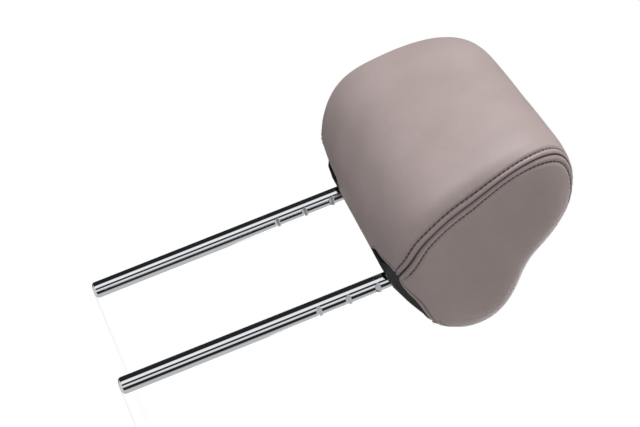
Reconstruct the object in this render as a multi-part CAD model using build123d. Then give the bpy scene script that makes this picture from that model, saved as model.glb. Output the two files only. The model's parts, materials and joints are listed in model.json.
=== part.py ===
from build123d import *
import math
import os

# Head restraint for a car seat: a leather-covered head cushion that tilts forward on a chromed post frame.
#
# Frame: +Z is up and the posts point down. -Y is the front, the side that the occupant's head rests on.
# X runs across the seat, and "left" and "right" are as seen from the front, so right is +X.
# The origin lies midway between the two post axes, POST_REACH above the post tips. Sizes are millimetres.

# ---------------------------------------------------------------- posts and cross bar
POST_DIAMETER = 14.0
POST_SPACING = 140.0
POST_REACH = 235.0
POST_TIP_ROUND = 3.0
BEND_RADIUS = 25.0
PIVOT_HEIGHT = 45.0
TILT_LIMIT = 10.0

NOTCH_COUNT = 3
NOTCH_PITCH = 25.0
LOWEST_NOTCH = 167.5
NOTCH_DEPTH = 2.0
NOTCH_FLOOR = 2.0
NOTCH_UPPER_RAMP = 0.6
NOTCH_LOWER_RAMP = 2.0

STOP_PIN_X = 18.0
STOP_PIN_DIAMETER = 5.0
STOP_PIN_LENGTH = 28.0
STOP_PIN_CHAMFER = 0.5

# ---------------------------------------------------------------- cushion
# Side outline of the cushion on its middle plane: corner points (y, z) and the radius that rounds each.
CUSHION_CORNERS = [
    ((-98, 236), 43), ((52, 45), 20), ((32, 6), 30), ((-20, -10), 60), ((-66, -2), 45), ((-94, 38), 60),
]
HALF_WIDTH = 126.9          # at the height of the origin
SIDE_LEAN = 0.1216          # half width lost per millimetre of height
SIDE_ROUND = 14.0           # radius where the cushion turns into its sides

LEATHER = 2.0
TAPE_INSET = 2.1
TAPE_THICKNESS = 0.6
FOAM_INSET = 2.9

# Side outline of the seam between the centre cover and each side cover: corners (y, z) and radii.
SEAM_CORNERS = [
    ((-105, 250), 36), ((44, 44), 18), ((24, 0), 20), ((18, -24), 2), ((-26, -24), 2), ((-66, 22), 40),
]
SEAM_ZONE_START = 111.0     # the side covers lie outboard of this, at the height of the origin
SEAM_ZONE_LEAN = 0.115
TAPE_HALF_WIDTH = 9.0

# ---------------------------------------------------------------- opening and bottom cover
# Right half of the opening's outline in plan, as (x, y), from the middle of the front to the middle of the rear.
OPENING_OUTLINE = [
    (0, -8), (40, -8), (46, -21.5), (60, -23), (103, -31.5), (119, -27), (120.5, 4), (112, 22), (60, 25), (0, 25),
]
OPENING_CORNER = 6.0
COVER_GAP = 0.8
COVER_WALL = 2.0
COVER_FLOOR = 2.5
COVER_OPEN_TOP = 5.0        # the hollow runs this far out through the rim
COVER_EDGE_ROUND = 2.5
COVER_UNDERSIDE = [(-38, -8.6), (-16, -10.2), (27, 4.8)]
COVER_RISE_START = (78.0, -10.8)    # outboard of this (x, z) the underside rises to the side
COVER_RISE = 0.18
COVER_RIM_TOP = [(-38, -0.5), (27, 13.0)]
SLOT_WIDTH = 16.8
SLOT_FRONT = -18.6
SLOT_REAR = 8.8
FINGER_X = 54.0
FINGER_WIDTH = 8.0
FINGER_THICKNESS = 2.0
FINGER_ROOTS = (-8.6, -3.0)     # inside the cover's floor, at the front and at the rear
FINGER_TOP = 17.0
BARB_LOW = 12.0
BARB_HIGH = 15.0
BARB_REACH = 2.0
WINDOW_PLAY = 0.5

# ---------------------------------------------------------------- inner shells
POD_HALF_WIDTH = 92.0
POD_BOTTOM = 8.0
POD_TOP = 73.0
POD_FRONT = -17.0
POD_REAR = 18.0
POD_WALL = 2.5
POD_CORNER = 10.0
POD_EDGE_ROUND = 5.0
POD_CLEARANCE = 0.2

BUSH_X = 30.0
BUSH_RUNNING_GAP = 0.05
BUSH_RADIUS = 9.5
BUSH_FLANGE_RADIUS = 11.5
BUSH_FLANGE = 1.5
BUSH_SLIT = 2.0
RIB_WIDTH = 6.8
RIB_REACH = 17.0

SCREW_PLACES = [(-85, 16), (85, 16), (-85, 64), (85, 64), (-32, 64), (32, 64), (-26, 22), (26, 22)]
BOSS_RADIUS = 5.5
SCREW_RADIUS = 1.7
SCREW_HEAD_RADIUS = 3.6
SCREW_HEAD = 2.5
SCREW_SEAT = 15.0
SCREW_TIP = -10.0
SCREW_PLAY = 0.35
SCREW_HOLE_EXCESS = 2.0
CROSS_LENGTH = 4.4
CROSS_WIDTH = 1.0
CROSS_FLOOR = 1.0

# ---------------------------------------------------------------- friction clamp
CLAMP_HALF_WIDTH = 9.0
CLAMP_THICKNESS = 1.6
CLAMP_GAP = 2.4
CLAMP_LUG_TOP = 68.0
CLAMP_BOLT_HEIGHT = 58.0
BOLT_RADIUS = 2.5
BOLT_HEAD_RADIUS = 4.5
BOLT_HEAD = 3.5
BOLT_TAIL = 1.5
BOLT_PLAY = 0.2
WASHER = 1.0
WASHER_SPLIT = 0.8
NUT = 4.0
STOP_RIB_HALF = 3.0
STOP_RIB_LOW = 30.0
STOP_RIB_HIGH = 37.0
ANCHOR_HALF = 6.0
ANCHOR_LOW = 63.5
ANCHOR_HIGH = 67.0

# ---------------------------------------------------------------- hem strips
HEM_STRIP_LENGTH = 80.0
HEM_STRIP_WALL = 1.2
HEM_STRIP_HEIGHT = 8.0
HEM_STRIP_PLAY = 0.1
POCKET_PLAY = 1.0
FOAM_RIM_GAP = 0.5

CLEAR = 30.0                # passes right through a small part
FAR = 400.0                 # passes right through the whole cushion


def block(x_low, x_high, y_low, y_high, z_low, z_high):
    """A box between two corners."""
    size = (x_high - x_low, y_high - y_low, z_high - z_low)
    centre = ((x_low + x_high) / 2, (y_low + y_high) / 2, (z_low + z_high) / 2)
    return Pos(*centre) * Box(*size)


def rod_x(radius, x_low, x_high):
    """A cylinder along X through the pivot line."""
    return Pos((x_low + x_high) / 2, 0, PIVOT_HEIGHT) * Rot(0, 90, 0) * Cylinder(radius, x_high - x_low)


def rod_y(radius, x, z, y_low, y_high):
    """A cylinder along Y at a place on the shells."""
    return Pos(x, (y_low + y_high) / 2, z) * Rot(90, 0, 0) * Cylinder(radius, y_high - y_low)


def rod_z(radius, x, y, z_low, z_high):
    """An upright cylinder."""
    return Pos(x, y, (z_low + z_high) / 2) * Cylinder(radius, z_high - z_low)


def hexagon_y(radius, x, z, y_low, y_high):
    """A hexagonal prism along Y, for bolt heads and nuts."""
    outline = Plane(origin=(x, y_low, z), x_dir=(1, 0, 0), z_dir=(0, 1, 0)) * RegularPolygon(radius, 6)
    return extrude(outline, y_high - y_low)


def rounded_outline(corners):
    """A closed side outline in the YZ plane from its corner points and their radii."""
    points = [point for point, radius in corners]
    radii = [radius for point, radius in corners]
    return make_face(FilletPolyline(*points, radius=radii, close=True))


def carried_across(outline, x_low, x_high):
    """A side outline carried across the seat."""
    return Pos(x_low, 0, 0) * extrude(Plane.YZ * outline, x_high - x_low)


def mirrored(part):
    """The left-hand twin of a right-hand piece."""
    return mirror(part, about=Plane.YZ)


# ---------------------------------------------------------------- post frame
def frame_path():
    """Centre line of the bent bar: up one post, across at the pivot height and down the other."""
    half = POST_SPACING / 2
    low = -POST_REACH
    shoulder = PIVOT_HEIGHT - BEND_RADIUS
    inner = half - BEND_RADIUS
    diagonal = BEND_RADIUS * math.sin(math.radians(45))
    left_mid = (-inner - diagonal, 0, shoulder + diagonal)
    right_mid = (inner + diagonal, 0, shoulder + diagonal)
    return Wire([
        Edge.make_line((-half, 0, low), (-half, 0, shoulder)),
        Edge.make_three_point_arc((-half, 0, shoulder), left_mid, (-inner, 0, PIVOT_HEIGHT)),
        Edge.make_line((-inner, 0, PIVOT_HEIGHT), (inner, 0, PIVOT_HEIGHT)),
        Edge.make_three_point_arc((inner, 0, PIVOT_HEIGHT), right_mid, (half, 0, shoulder)),
        Edge.make_line((half, 0, shoulder), (half, 0, low)),
    ])


def bent_bar():
    """A round bar along the centre line."""
    start = Plane(origin=(-POST_SPACING / 2, 0, -POST_REACH), z_dir=(0, 0, 1))
    return sweep(start * Circle(POST_DIAMETER / 2), path=frame_path())


def notch_cutter(post_x, height):
    """Wedge that cuts one latch notch into the +X side of a post."""
    floor = POST_DIAMETER / 2 - NOTCH_DEPTH
    outside = POST_DIAMETER / 2 + 1
    spread = (outside - floor) / NOTCH_DEPTH
    low = height - NOTCH_FLOOR / 2
    high = height + NOTCH_FLOOR / 2
    outline = Wire.make_polygon([
        (post_x + floor, -POST_DIAMETER, low),
        (post_x + floor, -POST_DIAMETER, high),
        (post_x + outside, -POST_DIAMETER, high + NOTCH_UPPER_RAMP * spread),
        (post_x + outside, -POST_DIAMETER, low - NOTCH_LOWER_RAMP * spread),
    ], close=True)
    return extrude(Face(outline), amount=2 * POST_DIAMETER, dir=(0, 1, 0))


def post_frame():
    """One chromed steel bar bent into a U, with rounded tips and three latch notches on each post."""
    bar = bent_bar()
    bar = fillet(bar.edges().group_by(Axis.Z)[0], POST_TIP_ROUND)
    for post_x in (-POST_SPACING / 2, POST_SPACING / 2):
        for step in range(NOTCH_COUNT):
            bar -= notch_cutter(post_x, -POST_REACH + LOWEST_NOTCH + step * NOTCH_PITCH)
    bar -= rod_z(STOP_PIN_DIAMETER / 2, STOP_PIN_X, 0, PIVOT_HEIGHT - CLEAR, PIVOT_HEIGHT + CLEAR)
    return bar


def stop_pin():
    """Steel pin pressed through the cross bar. Its ends meet ribs in the shells at both ends of the tilt."""
    half = STOP_PIN_LENGTH / 2
    pin = rod_z(STOP_PIN_DIAMETER / 2, STOP_PIN_X, 0, PIVOT_HEIGHT - half, PIVOT_HEIGHT + half)
    return chamfer(pin.edges().filter_by(GeomType.CIRCLE), STOP_PIN_CHAMFER)


# ---------------------------------------------------------------- cushion bodies
def outboard_of(start, lean):
    """Everything on the +X side of a plane that leans inward with height."""
    angle = math.degrees(math.atan(lean))
    return Pos(start, 0, 0) * Rot(0, -angle, 0) * Pos(FAR, 0, 0) * Box(2 * FAR, 2 * FAR, 2 * FAR)


def cushion_solid(inset):
    """The whole cushion shape, drawn in by a distance all round."""
    outline = rounded_outline(CUSHION_CORNERS)
    if inset:
        outline = offset(outline, -inset)
    beyond = HALF_WIDTH + 2 * SIDE_ROUND
    body = carried_across(outline, -beyond, beyond)
    right = outboard_of(HALF_WIDTH - inset * math.hypot(1, SIDE_LEAN), SIDE_LEAN)
    body = body - right - mirrored(right)
    side_faces = body.faces().sort_by(Axis.X)
    return fillet(side_faces[0].edges() + side_faces[-1].edges(), SIDE_ROUND - inset)


def side_zone(spread=0.0):
    """Everything inside the seam outline and outboard of the right seam's leaning plane."""
    outline = rounded_outline(SEAM_CORNERS)
    if spread:
        outline = offset(outline, spread)
    return carried_across(outline, POST_SPACING / 2, HALF_WIDTH + CLEAR) & outboard_of(SEAM_ZONE_START, SEAM_ZONE_LEAN)


def opening_outline(shrink=0.0):
    """Plan outline of the opening in the cushion's underside, drawn in by a distance."""
    right = OPENING_OUTLINE
    left = [(-x, y) for x, y in reversed(OPENING_OUTLINE[1:-1])]
    face = make_face(Polyline(*right, *left, close=True))
    corners = [vertex for vertex in face.vertices() if abs(vertex.X) > 1]
    face = fillet(corners, OPENING_CORNER)
    return offset(face, -shrink) if shrink else face


def opening_column(shrink=0.0):
    """The opening's outline carried up through the whole underside."""
    return Pos(0, 0, -CLEAR) * extrude(opening_outline(shrink), 2 * CLEAR)


# ---------------------------------------------------------------- bottom cover
def under_rim(lift, top_lift=0.0):
    """The space between the cover's curved underside, lifted by a wall, and the rim's sloping top."""
    front, middle, rear = [(0, y, z + lift) for y, z in COVER_UNDERSIDE]
    top_front, top_rear = [(0, y, z + top_lift) for y, z in COVER_RIM_TOP]
    rim = Wire([
        Edge.make_three_point_arc(front, middle, rear),
        Edge.make_line(rear, top_rear),
        Edge.make_line(top_rear, top_front),
        Edge.make_line(top_front, front),
    ])
    return Pos(-FAR / 2, 0, 0) * extrude(Face(rim), amount=FAR, dir=(1, 0, 0))


def cover_block(shrink, lift, top_lift):
    """Solid of the cover's outer or inner shape, whose underside rises towards both sides."""
    body = opening_column(shrink) & under_rim(lift, top_lift)
    start_x, start_z = COVER_RISE_START
    angle = math.degrees(math.atan(COVER_RISE))
    below = Pos(start_x, 0, start_z + lift) * Rot(0, -angle, 0) * Pos(FAR, 0, -FAR) * Box(2 * FAR, 2 * FAR, 2 * FAR)
    return body - below - mirrored(below)


def rounded_rim(body):
    """The cover's outer solid with its lower rim rounded."""
    undersides = [face for face in body.faces() if face.normal_at().Z < -0.5]
    edges = [edge for face in undersides for edge in face.edges()]
    rim = [edge for edge in edges if sum(edge.is_same(other) for other in edges) == 1]
    return fillet(rim, COVER_EDGE_ROUND)


def snap_fingers(side, wall_y):
    """The two fingers that click into the windows of one shell. side is -1 at the front, 1 at the rear."""
    fingers = []
    inner = wall_y - side * (FINGER_THICKNESS + POD_CLEARANCE)
    outer = wall_y - side * POD_CLEARANCE
    tip = wall_y + side * BARB_REACH
    root = FINGER_ROOTS[0] if side < 0 else FINGER_ROOTS[1]
    for x in (-FINGER_X, FINGER_X):
        low_x = x - FINGER_WIDTH / 2
        high_x = x + FINGER_WIDTH / 2
        stem = block(low_x, high_x, min(inner, outer), max(inner, outer), root, FINGER_TOP)
        barb = block(low_x, high_x, min(inner, tip), max(inner, tip), BARB_LOW, BARB_HIGH)
        fingers.append(stem + barb)
    return fingers


def bottom_cover():
    """Black dished cover that closes the underside, with one long slot for each post."""
    cover = rounded_rim(cover_block(COVER_GAP, 0, 0))
    cover -= cover_block(COVER_GAP + COVER_WALL, COVER_FLOOR, COVER_OPEN_TOP)
    for finger in snap_fingers(-1, POD_FRONT + POD_WALL) + snap_fingers(1, POD_REAR - POD_WALL):
        cover += finger
    for post_x in (-POST_SPACING / 2, POST_SPACING / 2):
        outline = SlotOverall(SLOT_REAR - SLOT_FRONT, SLOT_WIDTH, rotation=90)
        cover -= Pos(post_x, (SLOT_FRONT + SLOT_REAR) / 2, -CLEAR) * extrude(outline, 2 * CLEAR)
    return cover


# ---------------------------------------------------------------- inner shells
def pod_block(inset):
    """Outer or inner shape of the two shells together, open at the bottom."""
    width = 2 * (POD_HALF_WIDTH - inset)
    height = POD_TOP - POD_BOTTOM + 2 * POD_CORNER
    centre = (0, POD_FRONT + inset, POD_TOP - inset - height / 2)
    outline = Plane(origin=centre, x_dir=(1, 0, 0), z_dir=(0, 1, 0)) * RectangleRounded(
        width, height, POD_CORNER - inset)
    body = extrude(outline, POD_REAR - POD_FRONT - 2 * inset)
    ends = body.faces().sort_by(Axis.Y)
    body = fillet(ends[0].edges() + ends[-1].edges(), POD_EDGE_ROUND - inset)
    return body - block(-FAR, FAR, -FAR, FAR, -FAR, POD_BOTTOM)


def shell(side):
    """One of the two plastic shells that close round the cross bar. side is -1 at the front, 1 at the rear."""
    walls = pod_block(0) - pod_block(POD_WALL)
    wall_y = POD_FRONT if side < 0 else POD_REAR
    inner_y = wall_y - side * POD_WALL / 2

    def web(x_low, x_high, z_low, z_high, stop_y=0.0):
        return block(x_low, x_high, min(inner_y, stop_y), max(inner_y, stop_y), z_low, z_high)

    for x in (-BUSH_X, BUSH_X):
        low = PIVOT_HEIGHT - RIB_REACH
        high = PIVOT_HEIGHT + RIB_REACH
        walls += web(x - RIB_WIDTH / 2, x + RIB_WIDTH / 2, low, high)
    pin_radius = STOP_PIN_DIAMETER / 2
    travel = math.tan(math.radians(TILT_LIMIT)) * (PIVOT_HEIGHT - STOP_RIB_LOW)
    stop_y = -(travel + pin_radius + POD_CLEARANCE) if side < 0 else pin_radius + POD_CLEARANCE
    walls += web(STOP_PIN_X - STOP_RIB_HALF, STOP_PIN_X + STOP_RIB_HALF, STOP_RIB_LOW, STOP_RIB_HIGH, stop_y)
    lug_face = CLAMP_GAP / 2 + CLAMP_THICKNESS + POD_CLEARANCE / 2
    walls += web(-ANCHOR_HALF, ANCHOR_HALF, ANCHOR_LOW, ANCHOR_HIGH, side * lug_face)
    for x, z in SCREW_PLACES:
        walls += rod_y(BOSS_RADIUS, x, z, min(inner_y, 0), max(inner_y, 0))
    for x, z in SCREW_PLACES:
        if side < 0:
            walls -= rod_y(SCREW_RADIUS + BUSH_RUNNING_GAP, x, z, SCREW_TIP - SCREW_HOLE_EXCESS, 0)
        else:
            walls -= rod_y(SCREW_RADIUS + SCREW_PLAY, x, z, 0, POD_REAR)
            walls -= rod_y(SCREW_HEAD_RADIUS + SCREW_PLAY, x, z, SCREW_SEAT, POD_REAR)
    walls -= rod_x(BUSH_RADIUS + BUSH_RUNNING_GAP, -POD_HALF_WIDTH / 2, POD_HALF_WIDTH / 2)
    for x in (-FINGER_X, FINGER_X):
        window = FINGER_WIDTH / 2 + WINDOW_PLAY
        low = BARB_LOW - WINDOW_PLAY
        high = BARB_HIGH + WINDOW_PLAY
        walls -= block(x - window, x + window, wall_y - POD_WALL, wall_y + POD_WALL, low, high)
    return walls & block(-FAR, FAR, min(0, side * FAR), max(0, side * FAR), -FAR, FAR)


def bush():
    """Right-hand slit plastic bush that the cross bar turns in."""
    half = RIB_WIDTH / 2
    sleeve = rod_x(BUSH_RADIUS, BUSH_X - half, BUSH_X + half)
    for x in (BUSH_X - half - BUSH_FLANGE, BUSH_X + half):
        sleeve += rod_x(BUSH_FLANGE_RADIUS, x, x + BUSH_FLANGE)
    sleeve -= rod_x(POST_DIAMETER / 2 + BUSH_RUNNING_GAP, -FAR, FAR)
    sleeve -= block(-FAR, FAR, -BUSH_SLIT / 2, BUSH_SLIT / 2, PIVOT_HEIGHT, FAR)
    return sleeve


def shell_screws():
    """The eight pan-head screws that hold the shells together."""
    screws = []
    for x, z in SCREW_PLACES:
        screw = rod_y(SCREW_RADIUS, x, z, SCREW_TIP, SCREW_SEAT)
        screw += rod_y(SCREW_HEAD_RADIUS, x, z, SCREW_SEAT, SCREW_SEAT + SCREW_HEAD)
        for long_x, long_z in ((CROSS_LENGTH, CROSS_WIDTH), (CROSS_WIDTH, CROSS_LENGTH)):
            half_x = long_x / 2
            half_z = long_z / 2
            screw -= block(x - half_x, x + half_x, SCREW_SEAT + CROSS_FLOOR, POD_REAR, z - half_z, z + half_z)
        screws.append(screw)
    return Compound(children=screws)


# ---------------------------------------------------------------- friction clamp
def clamp_band():
    """Spring-steel band whose grip on the cross bar gives the tilt its friction."""
    inner = POST_DIAMETER / 2 + BUSH_RUNNING_GAP
    outer = inner + CLAMP_THICKNESS
    band = rod_x(outer, -CLAMP_HALF_WIDTH, CLAMP_HALF_WIDTH)
    lug = CLAMP_GAP / 2 + CLAMP_THICKNESS
    band += block(-CLAMP_HALF_WIDTH, CLAMP_HALF_WIDTH, -lug, lug, PIVOT_HEIGHT, CLAMP_LUG_TOP)
    band -= rod_x(inner, -FAR, FAR)
    band -= block(-FAR, FAR, -CLAMP_GAP / 2, CLAMP_GAP / 2, PIVOT_HEIGHT, FAR)
    band -= rod_y(BOLT_RADIUS + BOLT_PLAY, 0, CLAMP_BOLT_HEIGHT, -CLEAR, CLEAR)
    return band


def clamp_bolt():
    """Hexagon bolt that draws the band's two lugs together."""
    lug = CLAMP_GAP / 2 + CLAMP_THICKNESS
    head = hexagon_y(BOLT_HEAD_RADIUS, 0, CLAMP_BOLT_HEIGHT, -lug - BOLT_HEAD, -lug)
    return head + rod_y(BOLT_RADIUS, 0, CLAMP_BOLT_HEIGHT, -lug - BOLT_HEAD / 2, lug + WASHER + NUT + BOLT_TAIL)


def clamp_washer():
    """Spring washer under the nut."""
    lug = CLAMP_GAP / 2 + CLAMP_THICKNESS
    ring = rod_y(BOLT_HEAD_RADIUS, 0, CLAMP_BOLT_HEIGHT, lug, lug + WASHER)
    ring -= rod_y(BOLT_RADIUS + BOLT_PLAY, 0, CLAMP_BOLT_HEIGHT, 0, CLEAR)
    return ring - block(-WASHER_SPLIT / 2, WASHER_SPLIT / 2, 0, CLEAR, CLAMP_BOLT_HEIGHT, FAR)


def clamp_nut():
    """Hexagon nut on the clamp bolt."""
    start = CLAMP_GAP / 2 + CLAMP_THICKNESS + WASHER
    body = hexagon_y(BOLT_HEAD_RADIUS, 0, CLAMP_BOLT_HEIGHT, start, start + NUT)
    return body - rod_y(BOLT_RADIUS + BUSH_RUNNING_GAP, 0, CLAMP_BOLT_HEIGHT, 0, CLEAR)


# ---------------------------------------------------------------- soft parts
def hem_strip(side):
    """Plastic channel sewn to the leather's hem, hooked over a shell's lower edge. side as for the shells."""
    outer_wall = POD_FRONT if side < 0 else POD_REAR
    inner_wall = outer_wall - side * POD_WALL
    outer_face = outer_wall + side * (HEM_STRIP_PLAY + HEM_STRIP_WALL)
    inner_face = inner_wall - side * (HEM_STRIP_PLAY + HEM_STRIP_WALL)
    slot_outer = outer_wall + side * HEM_STRIP_PLAY
    slot_inner = inner_wall - side * HEM_STRIP_PLAY
    floor = POD_BOTTOM - HEM_STRIP_PLAY - HEM_STRIP_WALL
    top = floor + HEM_STRIP_HEIGHT
    half = HEM_STRIP_LENGTH / 2
    channel = block(-half, half, min(outer_face, inner_face), max(outer_face, inner_face), floor, top)
    gap_low = min(slot_outer, slot_inner)
    gap_high = max(slot_outer, slot_inner)
    return channel - block(-half, half, gap_low, gap_high, floor + HEM_STRIP_WALL, top)


def strip_pocket(side):
    """Room in the foam for a hem strip."""
    wall = POD_FRONT if side < 0 else POD_REAR
    far_face = wall + side * (HEM_STRIP_WALL + POCKET_PLAY)
    half = HEM_STRIP_LENGTH / 2 + POCKET_PLAY
    return block(-half, half,
                 min(wall, far_face), max(wall, far_face), -FAR, POD_BOTTOM + HEM_STRIP_HEIGHT)


def foam_pad(core):
    """Moulded foam that fills the cover round the shells."""
    pad = core - pod_block(-POD_CLEARANCE)
    pad -= block(-POD_HALF_WIDTH, POD_HALF_WIDTH, POD_FRONT, POD_REAR, -FAR, POD_BOTTOM + POCKET_PLAY)
    pad -= opening_column() & under_rim(-CLEAR, FOAM_RIM_GAP)
    return pad - strip_pocket(-1) - strip_pocket(1)


def build():
    """All the pieces, by node name."""
    opening = opening_column()
    skin = cushion_solid(0) - cushion_solid(LEATHER) - opening
    right_side = skin & side_zone()
    left_side = mirrored(right_side)
    tape_layer = cushion_solid(TAPE_INSET) - cushion_solid(TAPE_INSET + TAPE_THICKNESS) - opening
    right_tape = tape_layer & (side_zone(TAPE_HALF_WIDTH) - side_zone(-TAPE_HALF_WIDTH))
    front_shell = shell(-1)
    rear_shell = shell(1)
    right_bush = bush()
    return {
        "post_frame": post_frame(),
        "stop_pin": stop_pin(),
        "front_shell": front_shell,
        "rear_shell": rear_shell,
        "right_bush": right_bush,
        "left_bush": mirrored(right_bush),
        "clamp_band": clamp_band(),
        "clamp_bolt": clamp_bolt(),
        "clamp_washer": clamp_washer(),
        "clamp_nut": clamp_nut(),
        "shell_screws": shell_screws(),
        "foam_pad": foam_pad(cushion_solid(FOAM_INSET)),
        "centre_cover": skin - side_zone() - mirrored(side_zone()),
        "right_side_cover": right_side,
        "left_side_cover": left_side,
        "right_seam_tape": right_tape,
        "left_seam_tape": mirrored(right_tape),
        "front_hem_strip": hem_strip(-1),
        "rear_hem_strip": hem_strip(1),
        "bottom_cover": bottom_cover(),
    }


os.makedirs("parts", exist_ok=True)
for node, solid in build().items():
    export_step(solid, f"parts/{node}.step")
    print(node, "solids", len(solid.solids()), "volume", round(solid.volume, 1))
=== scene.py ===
"""Looks of a leather-covered car head restraint on a chromed post frame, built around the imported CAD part."""

import json
import logging
import math
from dataclasses import dataclass, field
from enum import Enum

import bpy
import numpy as np
from mathutils import Matrix, Vector


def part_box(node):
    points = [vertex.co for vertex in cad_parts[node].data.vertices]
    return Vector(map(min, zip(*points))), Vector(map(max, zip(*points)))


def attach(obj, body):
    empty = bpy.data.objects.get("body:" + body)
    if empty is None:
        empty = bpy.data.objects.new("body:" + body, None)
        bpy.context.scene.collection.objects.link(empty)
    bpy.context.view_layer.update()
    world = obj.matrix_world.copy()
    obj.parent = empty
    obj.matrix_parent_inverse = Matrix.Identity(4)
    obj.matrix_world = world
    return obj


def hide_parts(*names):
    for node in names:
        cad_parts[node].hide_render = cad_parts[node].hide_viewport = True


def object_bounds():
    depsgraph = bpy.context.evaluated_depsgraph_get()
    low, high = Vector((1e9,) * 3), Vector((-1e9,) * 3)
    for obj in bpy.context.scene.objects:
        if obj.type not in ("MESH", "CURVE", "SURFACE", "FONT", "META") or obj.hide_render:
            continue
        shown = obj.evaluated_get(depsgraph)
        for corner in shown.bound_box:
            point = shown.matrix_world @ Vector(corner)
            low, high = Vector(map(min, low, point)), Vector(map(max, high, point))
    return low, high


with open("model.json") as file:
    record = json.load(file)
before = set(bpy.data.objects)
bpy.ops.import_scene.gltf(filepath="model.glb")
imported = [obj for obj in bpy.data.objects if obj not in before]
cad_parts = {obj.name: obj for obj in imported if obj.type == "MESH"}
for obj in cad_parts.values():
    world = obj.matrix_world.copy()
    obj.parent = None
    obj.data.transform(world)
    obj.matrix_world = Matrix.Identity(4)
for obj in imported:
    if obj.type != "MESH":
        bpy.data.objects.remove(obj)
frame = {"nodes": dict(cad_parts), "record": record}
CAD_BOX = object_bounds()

LOG = logging.getLogger("head_restraint")
MM = 0.001
WHOLE_DEGREES = np.arange(362.0)
TABLE_SPACING = 4.0
MIRROR = np.array([-1.0, 1, 1])


class Side(Enum):
    """Which side of the head restraint, as seen from its front."""

    RIGHT = 1
    LEFT = -1

    @property
    def word(self) -> str:
        """The side's name in lower case."""
        return self.name.lower()


class Pattern(Enum):
    """The kind of fine surface that a moulded, plated or woven finish has."""

    MOULDED = "moulded"
    ORANGE_PEEL = "orange_peel"
    BRUSHED = "brushed"
    CELLS = "cells"
    WOVEN = "woven"
    TWISTED = "twisted"


# ------------------------------------------------------------------ number work
def periodic_spline(values: np.ndarray, degrees: np.ndarray) -> np.ndarray:
    """Smooth closed curve through values that are evenly spaced round a circle.

    Between two knots the value is a cubic whose second derivatives M solve
    M[i-1] + 4 M[i] + M[i+1] = 6 (y[i+1] - 2 y[i] + y[i-1]) with a knot spacing of 1.

    Args:
        values: The knots' values, the first at 0 degrees.
        degrees: Angles to evaluate at.

    Returns:
        The curve's values, in the shape of degrees.
    """
    values = np.asarray(values, float)
    count = len(values)
    system = 4 * np.eye(count) + np.roll(np.eye(count), 1, 0) + np.roll(np.eye(count), -1, 0)
    bend = np.linalg.solve(system, 6 * (np.roll(values, -1) - 2 * values + np.roll(values, 1)))
    place = (np.asarray(degrees, float) % 360.0) / 360.0 * count
    low = np.floor(place).astype(int) % count
    high = (low + 1) % count
    b = place - np.floor(place)
    a = 1 - b
    return (a * values[low] + b * values[high]
            + ((a**3 - a) * bend[low] + (b**3 - b) * bend[high]) / 6)


def smooth_step(low: float, high: float, x: np.ndarray) -> np.ndarray:
    """0 below low, 1 above high, and the cubic 3t^2 - 2t^3 between them."""
    t = np.clip((x - low) / (high - low), 0, 1)
    return t * t * (3 - 2 * t)


def bell(x: np.ndarray, centre: float, width: float) -> np.ndarray:
    """A bell curve of height 1: e to the minus square of (x - centre) / width."""
    return np.exp(-(((x - centre) / width) ** 2))


def unit(v: np.ndarray) -> np.ndarray:
    """Vectors along the last axis at length 1."""
    return v / np.maximum(np.linalg.norm(v, axis=-1, keepdims=True), 1e-12)


def uneven_line(x: np.ndarray, wave: float, seed: int) -> np.ndarray:
    """Repeatable wavering between about -1 and 1: six sines of lengths near wave with seeded phases.

    Args:
        x: Distance along a line.
        wave: Mean wavelength, in the units of x.
        seed: Seed of the phases.

    Returns:
        The wavering's value at each x.
    """
    draw = np.random.default_rng(seed)
    lengths = wave * draw.uniform(0.55, 1.9, 6)
    phases = draw.uniform(0, 2 * np.pi, 6)
    shape = (6,) + (1,) * np.ndim(x)
    waves = np.sin(2 * np.pi * np.asarray(x)[None] / lengths.reshape(shape) + phases.reshape(shape))
    return waves.sum(0) / 3.0


# ------------------------------------------------------------------ meshes
@dataclass
class Grid:
    """A surface as rows by columns of points, with a pattern coordinate and a crease depth at each."""

    points: np.ndarray
    uv: np.ndarray
    crease: np.ndarray
    closed: bool = False


def make_mesh(name: str, points: np.ndarray, faces: list[np.ndarray], uv: list[np.ndarray],
              crease: np.ndarray) -> bpy.types.Object:
    """An object whose mesh is given as arrays.

    Args:
        name: The piece's name.
        points: Vertices, in metres.
        faces: Arrays of vertex numbers, one array for each number of corners.
        uv: The pattern coordinate of each corner, array by array as faces.
        crease: How deep in a crease each vertex is, from 0 to 1.

    Returns:
        The object, smooth shaded and linked to the scene.
    """
    corners = np.concatenate([f.ravel() for f in faces])
    sizes = np.concatenate([np.full(len(f), f.shape[1]) for f in faces])
    starts = np.concatenate([[0], np.cumsum(sizes)[:-1]])
    mesh = bpy.data.meshes.new(name)
    mesh.vertices.add(len(points))
    mesh.vertices.foreach_set("co", points.astype(np.float32).ravel())
    mesh.loops.add(len(corners))
    mesh.loops.foreach_set("vertex_index", corners.astype(np.int32))
    mesh.polygons.add(len(sizes))
    mesh.polygons.foreach_set("loop_start", starts.astype(np.int32))
    mesh.update(calc_edges=True)
    mesh.polygons.foreach_set("use_smooth", np.ones(len(sizes), bool))
    layer = mesh.uv_layers.new(name="pattern")
    flat = np.concatenate([u.reshape(-1, 2) for u in uv])
    layer.data.foreach_set("uv", flat.astype(np.float32).ravel())
    depth = mesh.attributes.new("crease", "FLOAT", "POINT")
    depth.data.foreach_set("value", crease.astype(np.float32).ravel())
    mesh.update()
    thing = bpy.data.objects.new(name, mesh)
    bpy.context.scene.collection.objects.link(thing)
    return thing


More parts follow.
